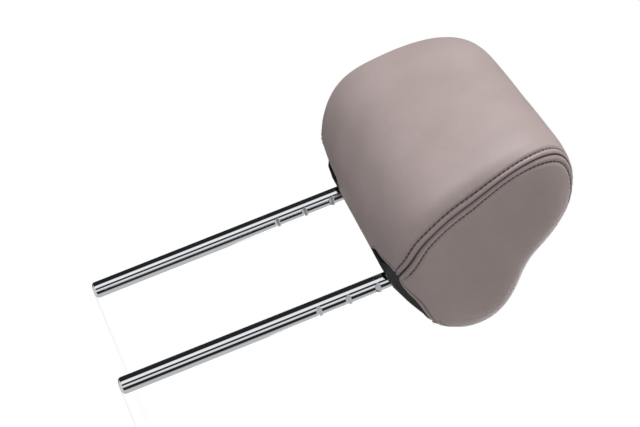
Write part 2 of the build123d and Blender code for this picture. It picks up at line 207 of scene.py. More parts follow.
def grid_faces(rows: int, columns: int, closed: bool) -> tuple[np.ndarray, np.ndarray]:
    """Corner numbers of a grid's quads.

    Args:
        rows: Rows of points.
        columns: Columns of points.
        closed: Whether the last row joins the first.

    Returns:
        The quads' vertex numbers, and their numbers in a pattern grid with one more row if closed.
    """
    spans = rows if closed else rows - 1
    i, j = np.meshgrid(np.arange(spans), np.arange(columns - 1), indexing="ij")
    corner_rows = np.stack([i, i, i + 1, i + 1], -1).reshape(-1, 4)
    corner_columns = np.stack([j, j + 1, j + 1, j], -1).reshape(-1, 4)
    return (corner_rows % rows) * columns + corner_columns, corner_rows * columns + corner_columns


def grid_object(name: str, grid: Grid, hub: np.ndarray | None = None, first_hub: np.ndarray | None = None,
                reverse: bool = False) -> bpy.types.Object:
    """An object from a grid, with optional fans that close its last and first columns.

    Args:
        name: The piece's name.
        grid: The surface.
        hub: The point that the last column's fan meets at, or None.
        first_hub: The point that the first column's fan meets at, or None.
        reverse: Turns the faces over.

    Returns:
        The object.
    """
    rows, columns = grid.points.shape[:2]
    quads, pattern = grid_faces(rows, columns, grid.closed)
    if reverse:
        quads, pattern = quads[:, ::-1], pattern[:, ::-1]
    points = grid.points.reshape(-1, 3)
    crease = grid.crease.reshape(-1)
    uv_grid = grid.uv.reshape(-1, 2)
    faces, uv = [quads], [uv_grid[pattern]]
    for point, column, turned in ((hub, columns - 1, reverse), (first_hub, 0, not reverse)):
        if point is None:
            continue
        i = np.arange(rows)
        edge = i * columns + column
        following = ((i + 1) % rows) * columns + column
        fan = np.stack([edge, np.full(rows, len(points)), following], -1)
        points = np.concatenate([points, point[None]])
        crease = np.append(crease, 0.0)
        faces.append(fan[:, ::-1] if turned else fan)
        uv.append(np.stack([uv_grid[edge]] * 3, 1))
    return make_mesh(name, points, faces, uv, crease)


# ------------------------------------------------------------------ the cushion's form
@dataclass
class CushionForm:
    """The cushion's outer skin before any seam is sewn in it, in millimetres of the CAD part's frame.

    A direction phi turns in the YZ plane round a centre line, from the rear towards the top.
    The side outline's radius R is a closed spline of phi. Across the seat the skin is a
    rounded box: with s the share of the half width and k the share of R, s^n + k^n = 1,
    the half width falls linearly with height, and tan(turn) = s / k runs the skin from the
    cushion's middle, turn 0, to the middle of its side, turn 90 degrees.
    """

    centre: tuple[float, float] = (-28.4, 62.8)
    radii: tuple[float, ...] = (72.5, 55.5, 57.3, 84.4, 97.3, 79.1, 66.0, 66.4, 67.5, 70.1, 74.3, 78.1)
    half_width: float = 126.9
    lean: float = 0.1216
    power: float = 8.86
    side_edge: tuple[float, ...] = (
        0.970, 0.970, 0.968, 0.965, 0.961, 0.955, 0.951, 0.949, 0.929, 0.840, 0.757, 0.703,
        0.675, 0.664, 0.672, 0.712, 0.785, 0.866, 0.955, 0.892, 0.888, 0.940, 0.962, 0.969)
    nominal_low: tuple[float, float] = (-95.4, -8.3)
    nominal_depth: float = 143.76
    turns: np.ndarray = field(init=False)
    shares: np.ndarray = field(init=False)
    lengths: np.ndarray = field(init=False)
    scale: float = field(init=False)
    shift: np.ndarray = field(init=False)

    def __post_init__(self) -> None:
        """Measures the skin's length across the seat, degree by degree, and fits the form to the CAD cover."""
        low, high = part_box("centre_cover")
        self.scale = (high.y - low.y) / self.nominal_depth
        low_y, low_z = self.nominal_low
        self.shift = np.array([0.0, low.y - self.scale * low_y, low.z - self.scale * low_z])
        self.turns = np.linspace(0, np.pi / 2, 500)
        points = self.at_turn(WHOLE_DEGREES[:, None], self.turns[None, :])
        steps = np.linalg.norm(np.diff(points, axis=1), axis=-1)
        reach = np.concatenate([np.zeros((len(WHOLE_DEGREES), 1)), np.cumsum(steps, 1)], 1)
        self.lengths = reach[:, -1]
        self.shares = reach / reach[:, -1:]

    def radius(self, phi: np.ndarray) -> np.ndarray:
        """The side outline's radius at phi degrees."""
        return periodic_spline(np.array(self.radii), phi)

    def at_turn(self, phi: np.ndarray, turn: np.ndarray) -> np.ndarray:
        """Points of the right half of the skin at phi degrees and turn radians.

        Args:
            phi: Directions in the YZ plane, in degrees.
            turn: Turns across the seat, in radians.

        Returns:
            The points, in millimetres, with the shape of both arguments broadcast together.
        """
        phi, turn = np.broadcast_arrays(np.asarray(phi, float), np.asarray(turn, float))
        s, k = np.sin(turn), np.clip(np.cos(turn), 0, 1)
        size = (s**self.power + k**self.power) ** (1 / self.power)
        s, k = s / size, k / size
        angle = np.radians(phi)
        y = self.centre[0] + k * self.radius(phi) * np.cos(angle)
        z = self.centre[1] + k * self.radius(phi) * np.sin(angle)
        return np.stack([s * (self.half_width - self.lean * z), y, z], -1)

    def _look_up(self, phi: np.ndarray, value: np.ndarray, keys: np.ndarray,
                 results: np.ndarray) -> np.ndarray:
        """Reads a table whose rows are whole degrees of phi.

        Each row's keys are set apart from the last row's, so that one interpolation serves them all, and
        the two neighbouring rows are mixed by phi's fraction of a degree.

        Args:
            phi: Degrees.
            value: What to look up.
            keys: The table's keys, one row for all degrees or a row for each.
            results: The table's results, likewise.

        Returns:
            The results, in the shape of value.
        """
        place = np.asarray(phi, float) % 360.0
        row = np.floor(place)
        part = place - row
        offset = np.arange(self.shares.shape[0])[:, None] * TABLE_SPACING
        flat_keys = (keys + offset).ravel()
        flat_results = np.broadcast_to(results, self.shares.shape).ravel()
        first = np.interp(value + row * TABLE_SPACING, flat_keys, flat_results)
        second = np.interp(value + (row + 1) * TABLE_SPACING, flat_keys, flat_results)
        return first * (1 - part) + second * part

    def length(self, phi: np.ndarray) -> np.ndarray:
        """The skin's length from the cushion's middle to the middle of its side, at phi degrees."""
        return np.interp(np.asarray(phi, float) % 360.0, WHOLE_DEGREES, self.lengths)

    def at_share(self, phi: np.ndarray, share: np.ndarray) -> np.ndarray:
        """Points at phi degrees and a share of the skin's length across, negative on the left half.

        Args:
            phi: Directions in the YZ plane, in degrees.
            share: Shares from -1 to 1.

        Returns:
            The points, in millimetres.
        """
        phi, share = np.broadcast_arrays(np.asarray(phi, float), np.asarray(share, float))
        turn = self._look_up(phi, np.clip(np.abs(share), 0, 1), self.shares, self.turns)
        points = self.at_turn(phi, turn)
        points[..., 0] *= np.where(share < 0, -1, 1)
        return points

    def edge_share(self, phi: np.ndarray) -> np.ndarray:
        """Share of the skin's length across at which the side panel's edge lies, at phi degrees.

        Args:
            phi: Directions in the YZ plane, in degrees.

        Returns:
            The shares, from 0 to 1.
        """
        k = periodic_spline(np.array(self.side_edge), phi)
        turn = np.arctan2((1 - k**self.power) ** (1 / self.power), k)
        return self._look_up(phi, turn, self.turns, self.shares)

    def fullness(self, p: np.ndarray) -> np.ndarray:
        """The rounded box's size through each point: (s^n + k^n) to the power 1/n, which is 1 on the skin.

        Args:
            p: Points, in millimetres.

        Returns:
            Their sizes.
        """
        s = np.abs(p[..., 0]) / (self.half_width - self.lean * p[..., 2])
        y, z = p[..., 1] - self.centre[0], p[..., 2] - self.centre[1]
        k = np.hypot(y, z) / self.radius(np.degrees(np.arctan2(z, y)))
        return (s**self.power + k**self.power) ** (1 / self.power)

    def normals(self, p: np.ndarray) -> np.ndarray:
        """Outward normals at points of the skin: the direction in which fullness rises fastest.

        Args:
            p: Points of the skin.

        Returns:
            Their unit normals.
        """
        steps = 0.02 * np.eye(3)
        rise = [self.fullness(p + step) - self.fullness(p - step) for step in steps]
        return unit(np.stack(rise, -1))

    def placed(self, p: np.ndarray) -> np.ndarray:
        """Nominal millimetres as metres in the row frame."""
        return p * self.scale + self.shift


# ------------------------------------------------------------------ leather
@dataclass
class SeamLine:
    """The closed line round a side panel: the sewn seam from the rear hem over the top to the front hem,
    and then the side panel's own hem.

    Positions along it are millimetres from the rear hem.
    """

    form: CushionForm
    rear_hem: float = -45.0
    front_hem: float = 267.0
    step: float = 0.8
    smoothing: int = 39
    seam_length: float = field(init=False)
    loop_length: float = field(init=False)
    degrees: np.ndarray = field(init=False)
    along: np.ndarray = field(init=False)

    def __post_init__(self) -> None:
        """Measures the line."""
        self.degrees = np.linspace(self.rear_hem, self.rear_hem + 360.0, 3601)
        points = self.form.at_share(self.degrees, self.form.edge_share(self.degrees))
        steps = np.linalg.norm(np.diff(points, axis=0), axis=-1)
        self.along = np.concatenate([[0.0], np.cumsum(steps)])
        self.loop_length = float(self.along[-1])
        self.seam_length = float(np.interp(self.front_hem, self.degrees, self.along))

    def phi(self, along: np.ndarray) -> np.ndarray:
        """Direction of the point at a distance along the line, in degrees."""
        return np.interp(along, self.along, self.degrees)

    def slant(self, phi: np.ndarray) -> np.ndarray:
        """How much further apart two points are across the seat than square to the line.

        It is 1 over the cosine of the line's slant, whose sine is the change of its place across against
        its length, averaged over a window.

        Args:
            phi: Directions in degrees.

        Returns:
            The ratio at each direction.
        """
        place = self.form.edge_share(self.degrees) * self.form.length(self.degrees)
        change = np.gradient(place, self.along)
        window = 2 * self.smoothing + 1
        ringed = np.concatenate([change[-self.smoothing - 1:-1], change, change[1:self.smoothing + 1]])
        smooth = np.convolve(ringed, np.ones(window) / window, "valid")
        size = np.interp((np.asarray(phi) - self.rear_hem) % 360.0 + self.rear_hem, self.degrees, smooth)
        return 1 / np.sqrt(np.maximum(1 - size**2, 0.3))


@dataclass
class LeatherRelief:
    """Heights of the sewn leather over the plain form, in millimetres.

    They are sums of bells along the distance from a line.
    """

    stitch_offset: float = 5.6
    pitch: float = 4.0
    band_height: float = 0.8
    stitch_depth: float = 0.6
    hole_depth: float = 0.22
    shoulder_height: float = 0.32
    pull_wave: float = 5.2
    roll: float = 1.0

    def seam(self, d: np.ndarray, along: np.ndarray, seed: int) -> np.ndarray:
        """Height beside the side seam.

        A padded band runs up to the topstitch. A groove under the thread is drawn down at each needle
        hole, a low shoulder lies beyond it, and faint creases square to the seam die out.

        Args:
            d: Distance from the seam.
            along: Distance along the seam.
            seed: Seed of the creases.

        Returns:
            The height at each point.
        """
        band = self.band_height * np.sin(np.pi * np.clip(d / self.stitch_offset, 0, 1)) ** 1.2
        groove = -self.stitch_depth * bell(d, self.stitch_offset, 1.1)
        needle = 0.5 + 0.5 * np.cos(2 * np.pi * along / self.pitch)
        holes = -self.hole_depth * needle * bell(d, self.stitch_offset, 1.5)
        shoulder = self.shoulder_height * bell(d, self.stitch_offset + 3.0, 2.0)
        pull = uneven_line(along, self.pull_wave, seed) * (0.08 * bell(d, 3.0, 2.0) + 0.05 * bell(d, 9.0, 4.0))
        return band + groove + holes + shoulder + pull

    def hem(self, e: np.ndarray, along: np.ndarray, seed: int) -> np.ndarray:
        """Height beside a hem: a rolled edge and the crease above it.

        Args:
            e: Distance from the hem.
            along: Distance along the hem.
            seed: Seed of its unevenness.

        Returns:
            The height at each point.
        """
        edge = 0.35 * bell(e, 1.3, 1.0) - 0.55 * bell(e, 3.1, 0.55) + 0.3 * bell(e, 5.2, 1.6)
        return edge + 0.07 * uneven_line(along, 9.0, seed) * bell(e, 5.0, 5.0)

    def crease(self, d: np.ndarray, e: np.ndarray) -> np.ndarray:
        """How far in a crease a point is, from 0 to 1, by its distances from the seam and from the hem. The
        leather's painted shade darkens by this depth.

        Args:
            d: Distance from the seam.
            e: Distance from the hem.

        Returns:
            The crease depths.
        """
        seam = bell(d, 0.0, 1.3) + 0.65 * bell(d, self.stitch_offset, 0.9)
        return np.clip(np.maximum(seam, 0.9 * bell(e, 3.1, 0.55) + bell(e, -0.5, 0.9)), 0, 1)


def rolled(points: np.ndarray, normals: np.ndarray, radius: float, turn: np.ndarray, steps: int,
           tail: float) -> np.ndarray:
    """Rolls a grid's first column under, as the edge of folded leather.

    The column's points move on a circle: out by r sin(t) and in by r (1 - cos t), as t goes from 0 to the
    whole turn.

    Args:
        points: Rows by columns of points whose first column is the edge.
        normals: Their outward normals.
        radius: The fold's radius.
        turn: Each row's whole turn, in radians.
        steps: Number of new columns in the fold.
        tail: Length of the leather that runs back inside after the fold.

    Returns:
        The new columns, from the furthest under to the one beside the edge.
    """
    edge, n = points[:, 0], normals[:, 0]
    out = edge - points[:, 1]
    out = unit(out - (out * n).sum(-1, keepdims=True) * n)
    t = (np.linspace(1, 0, steps, endpoint=False)[None, :] * turn[:, None])[..., None]
    fold = edge[:, None] + radius * (np.sin(t) * out[:, None] - (1 - np.cos(t)) * n[:, None])
    end = fold[:, :1] + tail * (np.cos(t[:, :1]) * out[:, None] - np.sin(t[:, :1]) * n[:, None])
    return np.concatenate([end, fold], 1)


@dataclass
class LeatherCover:
    """The cushion's cover: a centre panel and two side panels, folded and sewn along the side seams."""

    form: CushionForm
    line: SeamLine
    relief: LeatherRelief = field(default_factory=LeatherRelief)
    fold_steps: int = 6
    seam_turn: float = 115.0
    hem_turn: float = 180.0
    hem_steps: int = 8
    hem_tail: float = 4.0
    hem_spacing: float = 0.4
    hem_zone: float = 7.0
    middle: float = 100.0

    def _columns(self, total: float) -> np.ndarray:
        """Distances from the seam of a panel's columns: every 0.7 mm for 12 mm, then wider steps to total."""
        fine = np.arange(self.relief.roll + 0.05, 12.5, 0.7)
        count = int(round((total - fine[-1]) / 2.6))
        return np.concatenate([fine, np.linspace(fine[-1], total, count + 1)[1:]])

    def _fullness_waves(self, points: np.ndarray) -> np.ndarray:
        """Slow unevenness of stuffed leather: a product of two long sines of the points' places."""
        x, y, z = points[..., 0], points[..., 1], points[..., 2]
        slow = np.sin(x / 23.0 + 1.1) * np.sin((z + 0.6 * y) / 19.0 + 0.4)
        return 0.22 * slow + 0.1 * np.sin(x / 9.7 + 2.0) * np.sin((z - y) / 12.3)

    def _centre_rows(self) -> np.ndarray:
        """Distances along the seam of the centre panel's rows: close at both hems, and even between them."""
        whole, zone = self.line.seam_length, self.hem_zone
        fine = np.arange(self.relief.roll, zone, 0.45)
        plain = np.linspace(zone, whole - zone, int((whole - 2 * zone) / self.line.step))
        return np.concatenate([fine, plain, (whole - fine)[::-1]])

    def _centre_columns(self, phi_row: np.ndarray) -> tuple[np.ndarray, np.ndarray]:
        """Places of the centre panel's points across the seat.

        Near a seam the columns keep their distance square to it, and further in they spread so that both
        halves meet in the cushion's middle.

        Args:
            phi_row: Each row's direction.

        Returns:
            Shares of the skin's length across, and distances from the nearer seam.
        """
        d = self._columns(self.middle)
        slant = self.line.slant(phi_row)[:, None]
        length = self.form.length(phi_row)[:, None]
        reach = self.form.edge_share(phi_row)[:, None] * length
        near = d[None, :] * (1 + (slant - 1) * (1 - smooth_step(8, 60, d))[None, :])
        stretch = smooth_step(12.0, self.middle, d)[None, :]
        half_share = (reach - near - (reach - near[:, -1:]) * stretch) / length
        share = np.concatenate([-half_share, half_share[:, -2::-1]], 1)
        return share, np.broadcast_to(np.concatenate([d, d[-2::-1]]), share.shape)

    def centre_grid(self) -> Grid:
        """The centre panel's surface: rows run from seam to seam, from the rear hem to the front hem.

        The lowest front rows dip under the cushion in the middle, where the hem lies further back and the
        leather sags a little between the posts.

        Returns:
            The surface.
        """
        along = self._centre_rows()
        phi_row = self.line.phi(along)
        share, distance = self._centre_columns(phi_row)
        across = np.abs(share) * self.form.length(phi_row)[:, None]
        under = 11.5 * (1 - smooth_step(40.0, 56.0, across)) + 8.0 * (1 - smooth_step(60.0, 104.0, across))
        phi = phi_row[:, None] + under * smooth_step(205.0, 267.0, phi_row)[:, None]
        sag = 2.3 * (1 - smooth_step(44.0, 62.0, across)) * smooth_step(232.0, 258.0, phi)
        base = self.form.at_share(phi, share)
        normals = self.form.normals(base)
        hem = np.minimum(along, self.line.seam_length - along)[:, None]
        lines = np.broadcast_to(along[:, None], distance.shape)
        seeded = np.where(share < 0, lines + 731.0, lines)
        height = self.relief.seam(distance, seeded, 11) + self.relief.hem(hem, base[..., 0], 5)
        points = base + (height + sag + self._fullness_waves(base))[..., None] * normals
        turn = np.full(len(along), math.radians(self.seam_turn))
        fold = (self.relief.roll, turn, self.fold_steps, 1.5)
        left = rolled(points, normals, *fold)
        right = rolled(points[:, ::-1], normals[:, ::-1], *fold)[:, ::-1]
        added = ((0, 0), (left.shape[1], left.shape[1]))
        points = np.concatenate([left, points, right], 1)
        normals = np.pad(normals, (*added, (0, 0)), mode="edge")
        # the rolled-under edges get the full crease depth, so the leather paints its darkest shade there
        crease = np.pad(self.relief.crease(distance, hem), added, constant_values=1.0)
        uv_across = np.pad(distance, added, constant_values=-1.0)
        points, crease, uv = self._hemmed(points, normals, crease, uv_across, along)
        return Grid(self.form.placed(points), uv * MM, crease)

    def _hemmed(self, points: np.ndarray, normals: np.ndarray, crease: np.ndarray, uv_across: np.ndarray,
                along: np.ndarray) -> tuple[np.ndarray, np.ndarray, np.ndarray]:
        """Rolls a panel's first and last rows under as hems.

        Args:
            points: The panel's points.
            normals: Their outward normals.
            crease: Their crease depths.
            uv_across: Their pattern coordinate across the seam.
            along: Each row's distance along the seam.

        Returns:
            Points, crease depths and pattern coordinates with the hems' rows added.
        """
        turn = np.full(points.shape[1], math.radians(self.hem_turn))
        hem = (self.relief.roll, turn, self.hem_steps, self.hem_tail)
        turned = np.swapaxes(points, 0, 1)
        turned_normals = np.swapaxes(normals, 0, 1)
        rear = np.swapaxes(rolled(turned, turned_normals, *hem), 0, 1)
        front = np.swapaxes(rolled(turned[:, ::-1], turned_normals[:, ::-1], *hem)[:, ::-1], 0, 1)
        count = rear.shape[0]
        points = np.concatenate([rear, points, front], 0)
        crease = np.pad(crease, ((count, count), (0, 0)), mode="edge")
        uv_across = np.pad(uv_across, ((count, count), (0, 0)), mode="edge")
        before = along[0] - np.arange(count, 0, -1) * self.hem_spacing
        after = along[-1] + np.arange(1, count + 1) * self.hem_spacing
        along = np.concatenate([before, along, after])
        return points, crease, np.stack([np.broadcast_to(along[:, None], uv_across.shape), uv_across], -1)

    def side_grid(self) -> tuple[Grid, np.ndarray]:
        """The right side panel's surface, as rings from its edge inwards, and the point they close on.

        Returns:
            The surface, and the point in metres.
        """
        count = int(self.line.loop_length / self.line.step)
        along = np.arange(count) * self.line.loop_length / count
        phi = self.line.phi(along)
        slant = self.line.slant(phi)[:, None]
        edge = self.form.edge_share(phi)[:, None]
        length = self.form.length(phi)[:, None]
        room = (1 - edge) * length
        d = self._columns(float(room.min()) - 2.0)
        near = d[None, :] * (1 + (slant - 1) * (1 - smooth_step(7, 25, d))[None, :])
        spare = room * 0.985 - near[:, -1:]
        place = edge * length + near + spare * smooth_step(12.0, d[-1], d)[None, :]
        base = self.form.at_share(phi[:, None], place / length)
        normals = self.form.normals(base)
        into_hem = smooth_step(self.line.front_hem, self.line.front_hem + 3, phi)
        out_of_hem = 1 - smooth_step(self.line.rear_hem + 358, self.line.rear_hem + 360, phi)
        hem_part = (into_hem * out_of_hem)[:, None]
        seam_part = 1 - hem_part
        distance = np.broadcast_to(d, place.shape)
        lines = np.broadcast_to(along[:, None], place.shape)
        height = seam_part * self.relief.seam(distance, lines, 23)
        height = height + hem_part * self.relief.hem(distance, lines, 7)
        fade = 1 - smooth_step(30.0, float(d[-1]), distance)
        points = base + (height * fade + self._fullness_waves(base))[..., None] * normals
        far = np.full_like(distance, 99.0)
        # crease depth sets where the leather paints shade: seam valley, stitch groove, hem groove and rolled
        # edge
        crease = seam_part * self.relief.crease(distance, far) + hem_part * self.relief.crease(far, distance)
        turn = np.radians(self.seam_turn + (self.hem_turn - self.seam_turn) * hem_part[:, 0])
        fold = rolled(points, normals, self.relief.roll, turn, self.fold_steps, 2.0)
        added = fold.shape[1]
        points = np.concatenate([fold, points], 1)
        crease = np.pad(crease, ((0, 0), (added, 0)), mode="edge")
        uv_across = np.pad(distance + 18.0 * hem_part, ((0, 0), (added, 0)), mode="edge")
        uv_along = np.append(along, self.line.loop_length)
        uv_across = np.concatenate([uv_across, uv_across[:1]], 0)
        uv = np.stack([np.broadcast_to(uv_along[:, None], uv_across.shape), uv_across], -1)
        middle = self.form.at_share(np.array([90.0]), np.array([1.0]))
        middle = middle + (self._fullness_waves(middle))[..., None] * np.array([[1.0, 0, 0]])
        return Grid(self.form.placed(points), uv * MM, crease, closed=True), self.form.placed(middle)[0]

    def build(self) -> list[bpy.types.Object]:
        """Makes the three panels.

        Returns:
            The centre, right and left panels.
        """
        centre = grid_object("centre_panel", self.centre_grid(), reverse=True)
        grid, hub = self.side_grid()
        right = grid_object("right_side_panel", grid, hub, reverse=True)
        mirrored = Grid(grid.points * MIRROR, grid.uv, grid.crease, True)
        left = grid_object("left_side_panel", mirrored, hub * MIRROR)
        return [centre, right, left]

    def dress(self, pieces: list[bpy.types.Object], leather: bpy.types.Material) -> None:
        """Gives the panels their leather, fixes them to the head and hides the CAD covers that they stand for.

        Args:
            pieces: The centre, right and left panels.
            leather: Their material.
        """
        for piece, node in zip(pieces, ("centre_cover", "right_side_cover", "left_side_cover")):
            piece.data.materials.append(leather)
            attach(piece, "head")
            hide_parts(node)


@dataclass
class Topstitching:
    """Two rows of thread beside each side seam, one on each panel.

    Every stitch is a short bowed length of cord.
    """

    form: CushionForm
    line: SeamLine
    relief: LeatherRelief
    half_length: float = 1.6
    radius: float = 0.46
    sections: int = 7
    corners: int = 6
    slack: float = 5.0
    lean: float = 0.22
    rise: float = 0.62
    sink: float = 0.30
    groove_limit: float = -0.35

    def _row(self, inward: int, side: Side, seed: int) -> tuple[np.ndarray, np.ndarray]:
        """Points of one row's stitches.

        Each stitch follows the leather for its length. Its middle stands out of the groove and its ends go
        into the needle holes, as height = rise (1 - a^4) - sink, with a from -1 to 1 along it, and its radius
        shrinks towards its ends.

        Args:
            inward: -1 for the row on the centre panel, 1 for the row on the side panel.
            side: The seam's side.
            seed: Seed of the stitches' small differences.

        Returns:
            Points by stitch, section and corner, and the pattern coordinate of each.
        """
        pitch = self.relief.pitch
        centres = (np.arange(int((self.line.seam_length - 2 * self.slack) / pitch)) + 0.5) * pitch
        centres += math.ceil(self.slack / pitch) * pitch
        draw = np.random.default_rng(seed)
        a = np.linspace(-1, 1, self.sections)[None, :]
        tilt = (self.lean * inward + draw.uniform(-0.12, 0.12, (len(centres), 1))) * a
        along = centres[:, None] + a * self.half_length
        phi = self.line.phi(along)
        d = (self.relief.stitch_offset + tilt) * self.line.slant(phi)
        length = self.form.length(phi)
        place = self.form.edge_share(phi) * length + inward * d
        points = self.form.at_share(phi, place / length)
        normals = self.form.normals(points)
        lay = self.relief.seam(np.full_like(along, self.relief.stitch_offset), along, 0)
        lay = np.minimum(lay, self.groove_limit)
        lift = self.rise * (1 - a**4) - self.sink + draw.uniform(-0.05, 0.05, (len(centres), 1))
        points = points + (lay + lift)[..., None] * normals
        forward = unit(np.gradient(points, axis=1))
        across = np.cross(normals, forward)
        turn = 2 * np.pi * np.arange(self.corners) / self.corners
        thick = self.radius * np.sqrt(1 - (0.93 * a) ** 6)
        ring = (np.cos(turn)[None, None, :, None] * across[:, :, None] * 1.15
                + np.sin(turn)[None, None, :, None] * normals[:, :, None] * 0.9)
        points = points[:, :, None] + ring * thick[..., None, None]
        points[..., 0] *= side.value
        run = np.broadcast_to(along[..., None], points.shape[:3])
        round_it = np.broadcast_to((turn * self.radius)[None, None, :], points.shape[:3])
        return points, np.stack([run, round_it], -1)

    def build(self, side: Side) -> bpy.types.Object:
        """Makes the thread of one side seam.

        Args:
            side: The seam's side.

        Returns:
            One object with both rows of stitches.
        """
        rows = [self._row(-1, side, 41), self._row(1, side, 42)]
        points = np.concatenate([r[0] for r in rows])
        uv = np.concatenate([r[1] for r in rows])
        count, sections, corners = points.shape[:3]
        i, s, c = np.meshgrid(np.arange(count), np.arange(sections - 1), np.arange(corners), indexing="ij")
        after = (c + 1) % corners
        start = (i * sections + s) * corners
        quads = np.stack([start + c, start + after, start + corners + after, start + corners + c], -1)
        quads = quads.reshape(-1, 4)
        stitch = (np.arange(count) * sections * corners)[:, None]
        first = stitch + np.arange(corners)[None, ::-1]
        last = stitch + (sections - 1) * corners + np.arange(corners)[None]
        faces = [quads, np.concatenate([first, last])]
        if side is Side.LEFT:
            faces = [f[:, ::-1] for f in faces]
        flat_uv = uv.reshape(-1, 2) * MM
        placed = self.form.placed(points.reshape(-1, 3))
        uvs = [flat_uv[f] for f in faces]
        return make_mesh(f"{side.word}_seam_thread", placed, faces, uvs, np.zeros(len(placed)))

    def dress(self, piece: bpy.types.Object, thread: bpy.types.Material) -> None:
        """Gives the stitches their thread and fixes them to the head.

        Args:
            piece: One seam's stitches.
            thread: Their material.
        """
        piece.data.materials.append(thread)
        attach(piece, "head")


@dataclass
class CushionFilling:
    """What the leather covers: the foam core, and the backing tape sewn behind each side seam."""

    form: CushionForm
    line: SeamLine
    foam_inset: float = 4.4
    foam_reach: float = 0.985
    pocket_depth: float = 20.0
    tape_inset: float = 3.1
    tape_thickness: float = 0.6
    tape_half_width: float = 8.0

    def foam(self) -> bpy.types.Object:
        """Makes the foam core: the form drawn in along its normals, and further in by a smooth pocket.

        The pocket lies over the hard cover, where the housing is.

        Returns:
            The foam core.
        """
        phi = np.arange(0, 360, 2.0)[:, None]
        share = np.linspace(-self.foam_reach, self.foam_reach, 121)[None, :]
        base = self.form.at_share(phi, share)
        normals = self.form.normals(base)
        x, y = np.abs(base[..., 0]), base[..., 1]
        pocket = smooth_step(0.25, 0.6, -normals[..., 2]) * (1 - smooth_step(110.0, 119.0, x))
        pocket = pocket * smooth_step(-34.0, -26.0, y) * (1 - smooth_step(20.0, 27.0, y))
        points = base - (self.foam_inset + self.pocket_depth * pocket)[..., None] * normals
        uv = np.stack(np.broadcast_arrays(np.append(phi, 360.0)[:, None], share), -1)
        grid = Grid(self.form.placed(points), uv, np.zeros(points.shape[:2]), closed=True)
        ends = self.form.at_share(np.array([90.0, 90.0]), np.array([1.0, -1.0]))
        ends[:, 0] -= np.array([1, -1]) * self.foam_inset
        ends = self.form.placed(ends)
        return grid_object("foam_core", grid, ends[0], ends[1], reverse=True)

    def tape(self, side: Side) -> bpy.types.Object:
        """Makes one seam's backing tape: a flat closed strip.

        Its outline runs out along its face and back along its underside.

        Args:
            side: The seam's side.

        Returns:
            The tape.
        """
        along = np.linspace(4.0, self.line.seam_length - 4.0, 200)
        phi = self.line.phi(along)
        across = np.linspace(-self.tape_half_width, self.tape_half_width, 9)
        place = (self.form.edge_share(phi) * self.form.length(phi))[None, :] + across[:, None]
        base = self.form.at_share(phi[None, :], place / self.form.length(phi)[None, :])
        normals = self.form.normals(base)
        face = base - self.tape_inset * normals
        back = base - (self.tape_inset + self.tape_thickness) * normals
        points = np.concatenate([face, back[::-1]])
        points[..., 0] *= side.value
        rows, columns = points.shape[:2]
        quads, _ = grid_faces(rows, columns, True)
        ends = np.stack([np.arange(rows) * columns, (np.arange(rows) * columns + columns - 1)[::-1]])
        if side is Side.LEFT:
            quads, ends = quads[:, ::-1], ends[:, ::-1]
        flat = self.form.placed(points.reshape(-1, 3))
        uv = np.stack([np.tile(along, rows), np.repeat(np.arange(rows) * 2.0, columns)], -1) * MM
        uvs = [uv[quads], uv[ends]]
        return make_mesh(f"{side.word}_backing_tape", flat, [quads, ends], uvs, np.zeros(len(flat)))

    def dress(self, piece: bpy.types.Object, node: str, slot: str, material: bpy.types.Material) -> None:
        """Gives a piece its finish, fixes it to the head and hides the CAD node that it stands for.

        Args:
            piece: The piece.
            node: The CAD node's name.
            slot: Not used.
            material: The finish.
        """
        piece.data.materials.append(material)
        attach(piece, "head")
        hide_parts(node)


@dataclass
class HardCover:
    """The hard black cover under the cushion, whose outer wings sweep up behind the leather's edge."""

    section_y: tuple[float, ...] = (-38.0, -16.0, 27.0)
    section_z: tuple[float, ...] = (-8.6, -10.2, 4.8)
    rise_start: tuple[float, float] = (78.0, -10.8)
    rise: float = 0.18
    wing: tuple[float, float] = (78.0, 0.20)
    tip: tuple[float, float] = (100.0, 0.15)
    depth: float = 8.5
    eased: float = 0.6

    def build(self) -> bpy.types.Object:
        """Makes the cover from the carried-over one.

        Each point rises by a slope times its distance beyond the wing's start, and by a second slope beyond
        the tip's start. Points above the underside rise less.

        Returns:
            The cover.
        """
        mesh = frame["nodes"]["bottom_cover"].data.copy()
        mesh.name = "hard_cover"
        points = np.empty(len(mesh.vertices) * 3)
        mesh.vertices.foreach_get("co", points)
        points = points.reshape(-1, 3) / MM
        across = np.abs(points[:, 0])
        under = np.interp(points[:, 1], self.section_y, self.section_z)
        start_x, start_z = self.rise_start
        slope_z = start_z + self.rise * (across - start_x)
        under = np.where(across > start_x, np.maximum(under, slope_z), under)
        height = np.clip((points[:, 2] - under) / self.depth, 0, 1)
        lift = sum(slope * np.maximum(across - start, 0.0) for start, slope in (self.wing, self.tip))
        points[:, 2] += lift * (1 - self.eased * height)
        mesh.vertices.foreach_set("co", (points * MM).astype(np.float32).ravel())
        mesh.update()
        piece = bpy.data.objects.new("hard_cover", mesh)
        bpy.context.scene.collection.objects.link(piece)
        return piece

    def dress(self, piece: bpy.types.Object, material: bpy.types.Material) -> None:
        """Gives the cover its finish, fixes it to the head and hides the CAD node that it stands for.

        Args:
            piece: The cover.
            material: Its finish.
        """
        piece.data.materials.clear()
        piece.data.materials.append(material)
        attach(piece, "head")
        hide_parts("bottom_cover")


